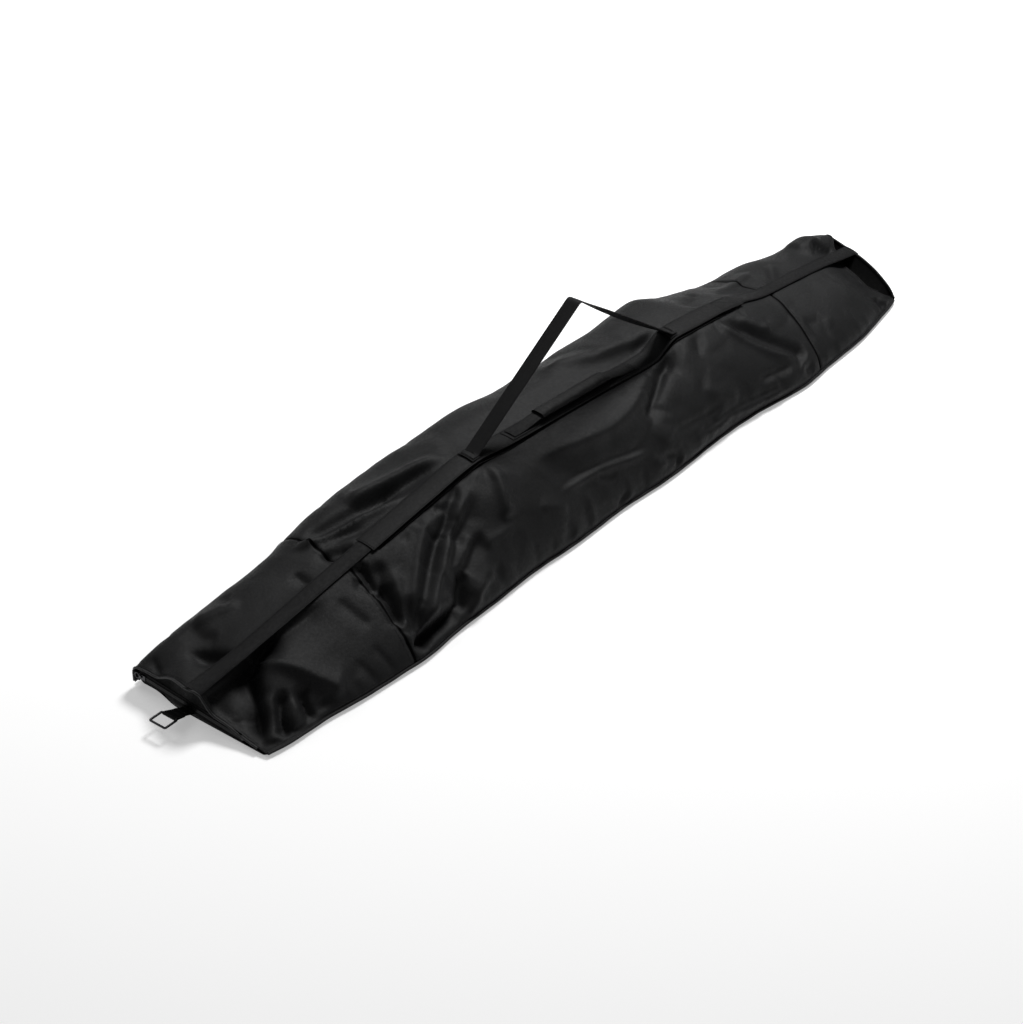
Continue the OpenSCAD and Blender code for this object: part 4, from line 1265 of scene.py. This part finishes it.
def make_tab():
    """The webbing folded round the metal loop's bar, and its stitches."""
    lo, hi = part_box("end_loop")
    root = np.array([NEAR_X - 3.0, 10.0])
    bar = np.array([hi.x / MM - 2.0, (lo.z + hi.z) / 2 / MM])
    d = unit(bar - root)
    n = np.array([-d[1], d[0]])
    if n[1] < 0:
        n = -n
    lead = [root + [9, -1.2], root + [2, -0.4], root, root + d * 10 + n * 1.2,
            root + d * 22 + n * 1.6]
    top = [bar - d * 3 + n * 2.9]
    arc = [bar + (d * math.cos(a) + n * math.sin(a)) * 2.9
           for a in np.radians(np.arange(80, -95, -15))]
    back = [bar - d * 4 - n * 2.9, bar - d * 22 - n * 1.2]
    line = smooth_line(lead + top + arc + back, 3)
    obj = flat_ribbon("end_tab_webbing", line, 14, 1.3, MAT["webbing"], y=30.0)
    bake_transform(obj)
    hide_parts("end_tab")
    rows = Threads()
    for k in (14.0, 16.5, 27.0, 29.5):
        c = root + d * k + n * 3.2
        line = grid(c[0], np.linspace(17.5, 42.5, 12), c[1])
        rows.row(line, [n[0], 0, n[1]], pitch=2.4, long=2.0)
    place(rows.make("end_tab_stitches", MAT["thread"]), "thread", body="end_tab")


# ---- Far end ----
def make_far_end(threads):
    y = np.r_[np.linspace(-128, -60, 30), np.linspace(-56, 84, 50), np.linspace(86, 92.5, 8)]
    rim = hermite(y, [-130, -122, -100, -60, -20, 0, 30, 60, 80, 90, 94],
                  np.array([10, 22, 36, 51, 58, 59, 61, 62, 54, 43, 33]))
    s = 1873 + 0.28 * y
    t = np.linspace(0, 1, 14)
    z = rim[:, None] * (1 - t) + 3.0 * t
    waves = fabric_waves(8, y, (0.4, 1.1), (7, 18))
    x = s[:, None] + NEAR_X + 5 * np.sin(np.pi * t)[None] + waves[:, None] * np.sin(np.pi * t)[None]
    rows = grid(x, y[:, None], z)
    uv = grid(y[:, None], z)
    obj = sheet_piece("far_end_fabric", rows, 1.2, uv, MAT["end"], side_of(rows, sign=1))
    place(obj, "body_fabric", "far_end_panel")
    line = grid(s + NEAR_X, y, rim)
    place(tube("far_end_rim_binding", line, 2.2, MAT["piping"]), "binding_tape")
    t = np.linspace(0, 1, 12)
    # The lining inside the far end is near-black painted shade, so its hollow reads dark.
    x = s[:, None] + NEAR_X - 1.5 - 95 * t[None]
    z = (rim - 3)[:, None] * (1 - t) ** 3 + (0.4 * rim + 2)[:, None] * (1 - (1 - t) ** 3)
    rows = grid(x, 0.97 * y[:, None], z)
    obj = sheet_piece("far_end_lining", rows, 0.8, rows[..., :2], MAT["inside"], side_of(rows, 2, 1))
    place(obj, "body_fabric")
    for half, side in ((left_half, "left"), (right_half, "right")):
        v = np.linspace(0.01, 0.93 if side == "right" else 0.5, 60)
        ss = lip_line(half, v) - 0.6
        p = skin(half, ss, v * half.girth(ss), 0.2)
        place(tube(f"far_lip_{side}_hem", p, 1.3, MAT["piping"]), "binding_tape")
        seam_row(threads, half, lip_line, -8, 0.09, 0.9 if side == "right" else 0.5)


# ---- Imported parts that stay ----
FINISHES = {
    "cad_tape": ("main_zip_tape_left", "main_zip_tape_right"),
    "coil": ("main_zip_coil_left", "main_zip_coil_right", "end_zip_coil_upper",
             "end_zip_coil_lower"),
    "zip_metal": ("main_zip_stops", "main_zip_slider", "end_zip_stops", "end_zip_slider"),
    "puller": ("main_zip_puller",), "ring": ("end_zip_ring",), "loop": ("end_loop",),
}


def paint_packed_parts():
    for finish, names in FINISHES.items():
        for name in names:
            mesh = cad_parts[name].data
            mesh.materials.clear()
            mesh.materials.append(MAT[finish])
            mesh.polygons.foreach_set("material_index", [0] * len(mesh.polygons))


make_camera()
make_stage()
seams = Threads()
make_panels()
make_cross_seams(seams)
make_base()
make_side_piping(seams)
make_top_strips(seams)
make_zip_gap_shade()
make_carry_strap(seams)
make_handle(seams)
make_mouth(seams)
make_end_zip()
make_tab()
make_far_end(seams)
place(seams.make("bag_stitches", MAT["thread"]), "thread", "bar_tacks")
paint_packed_parts()
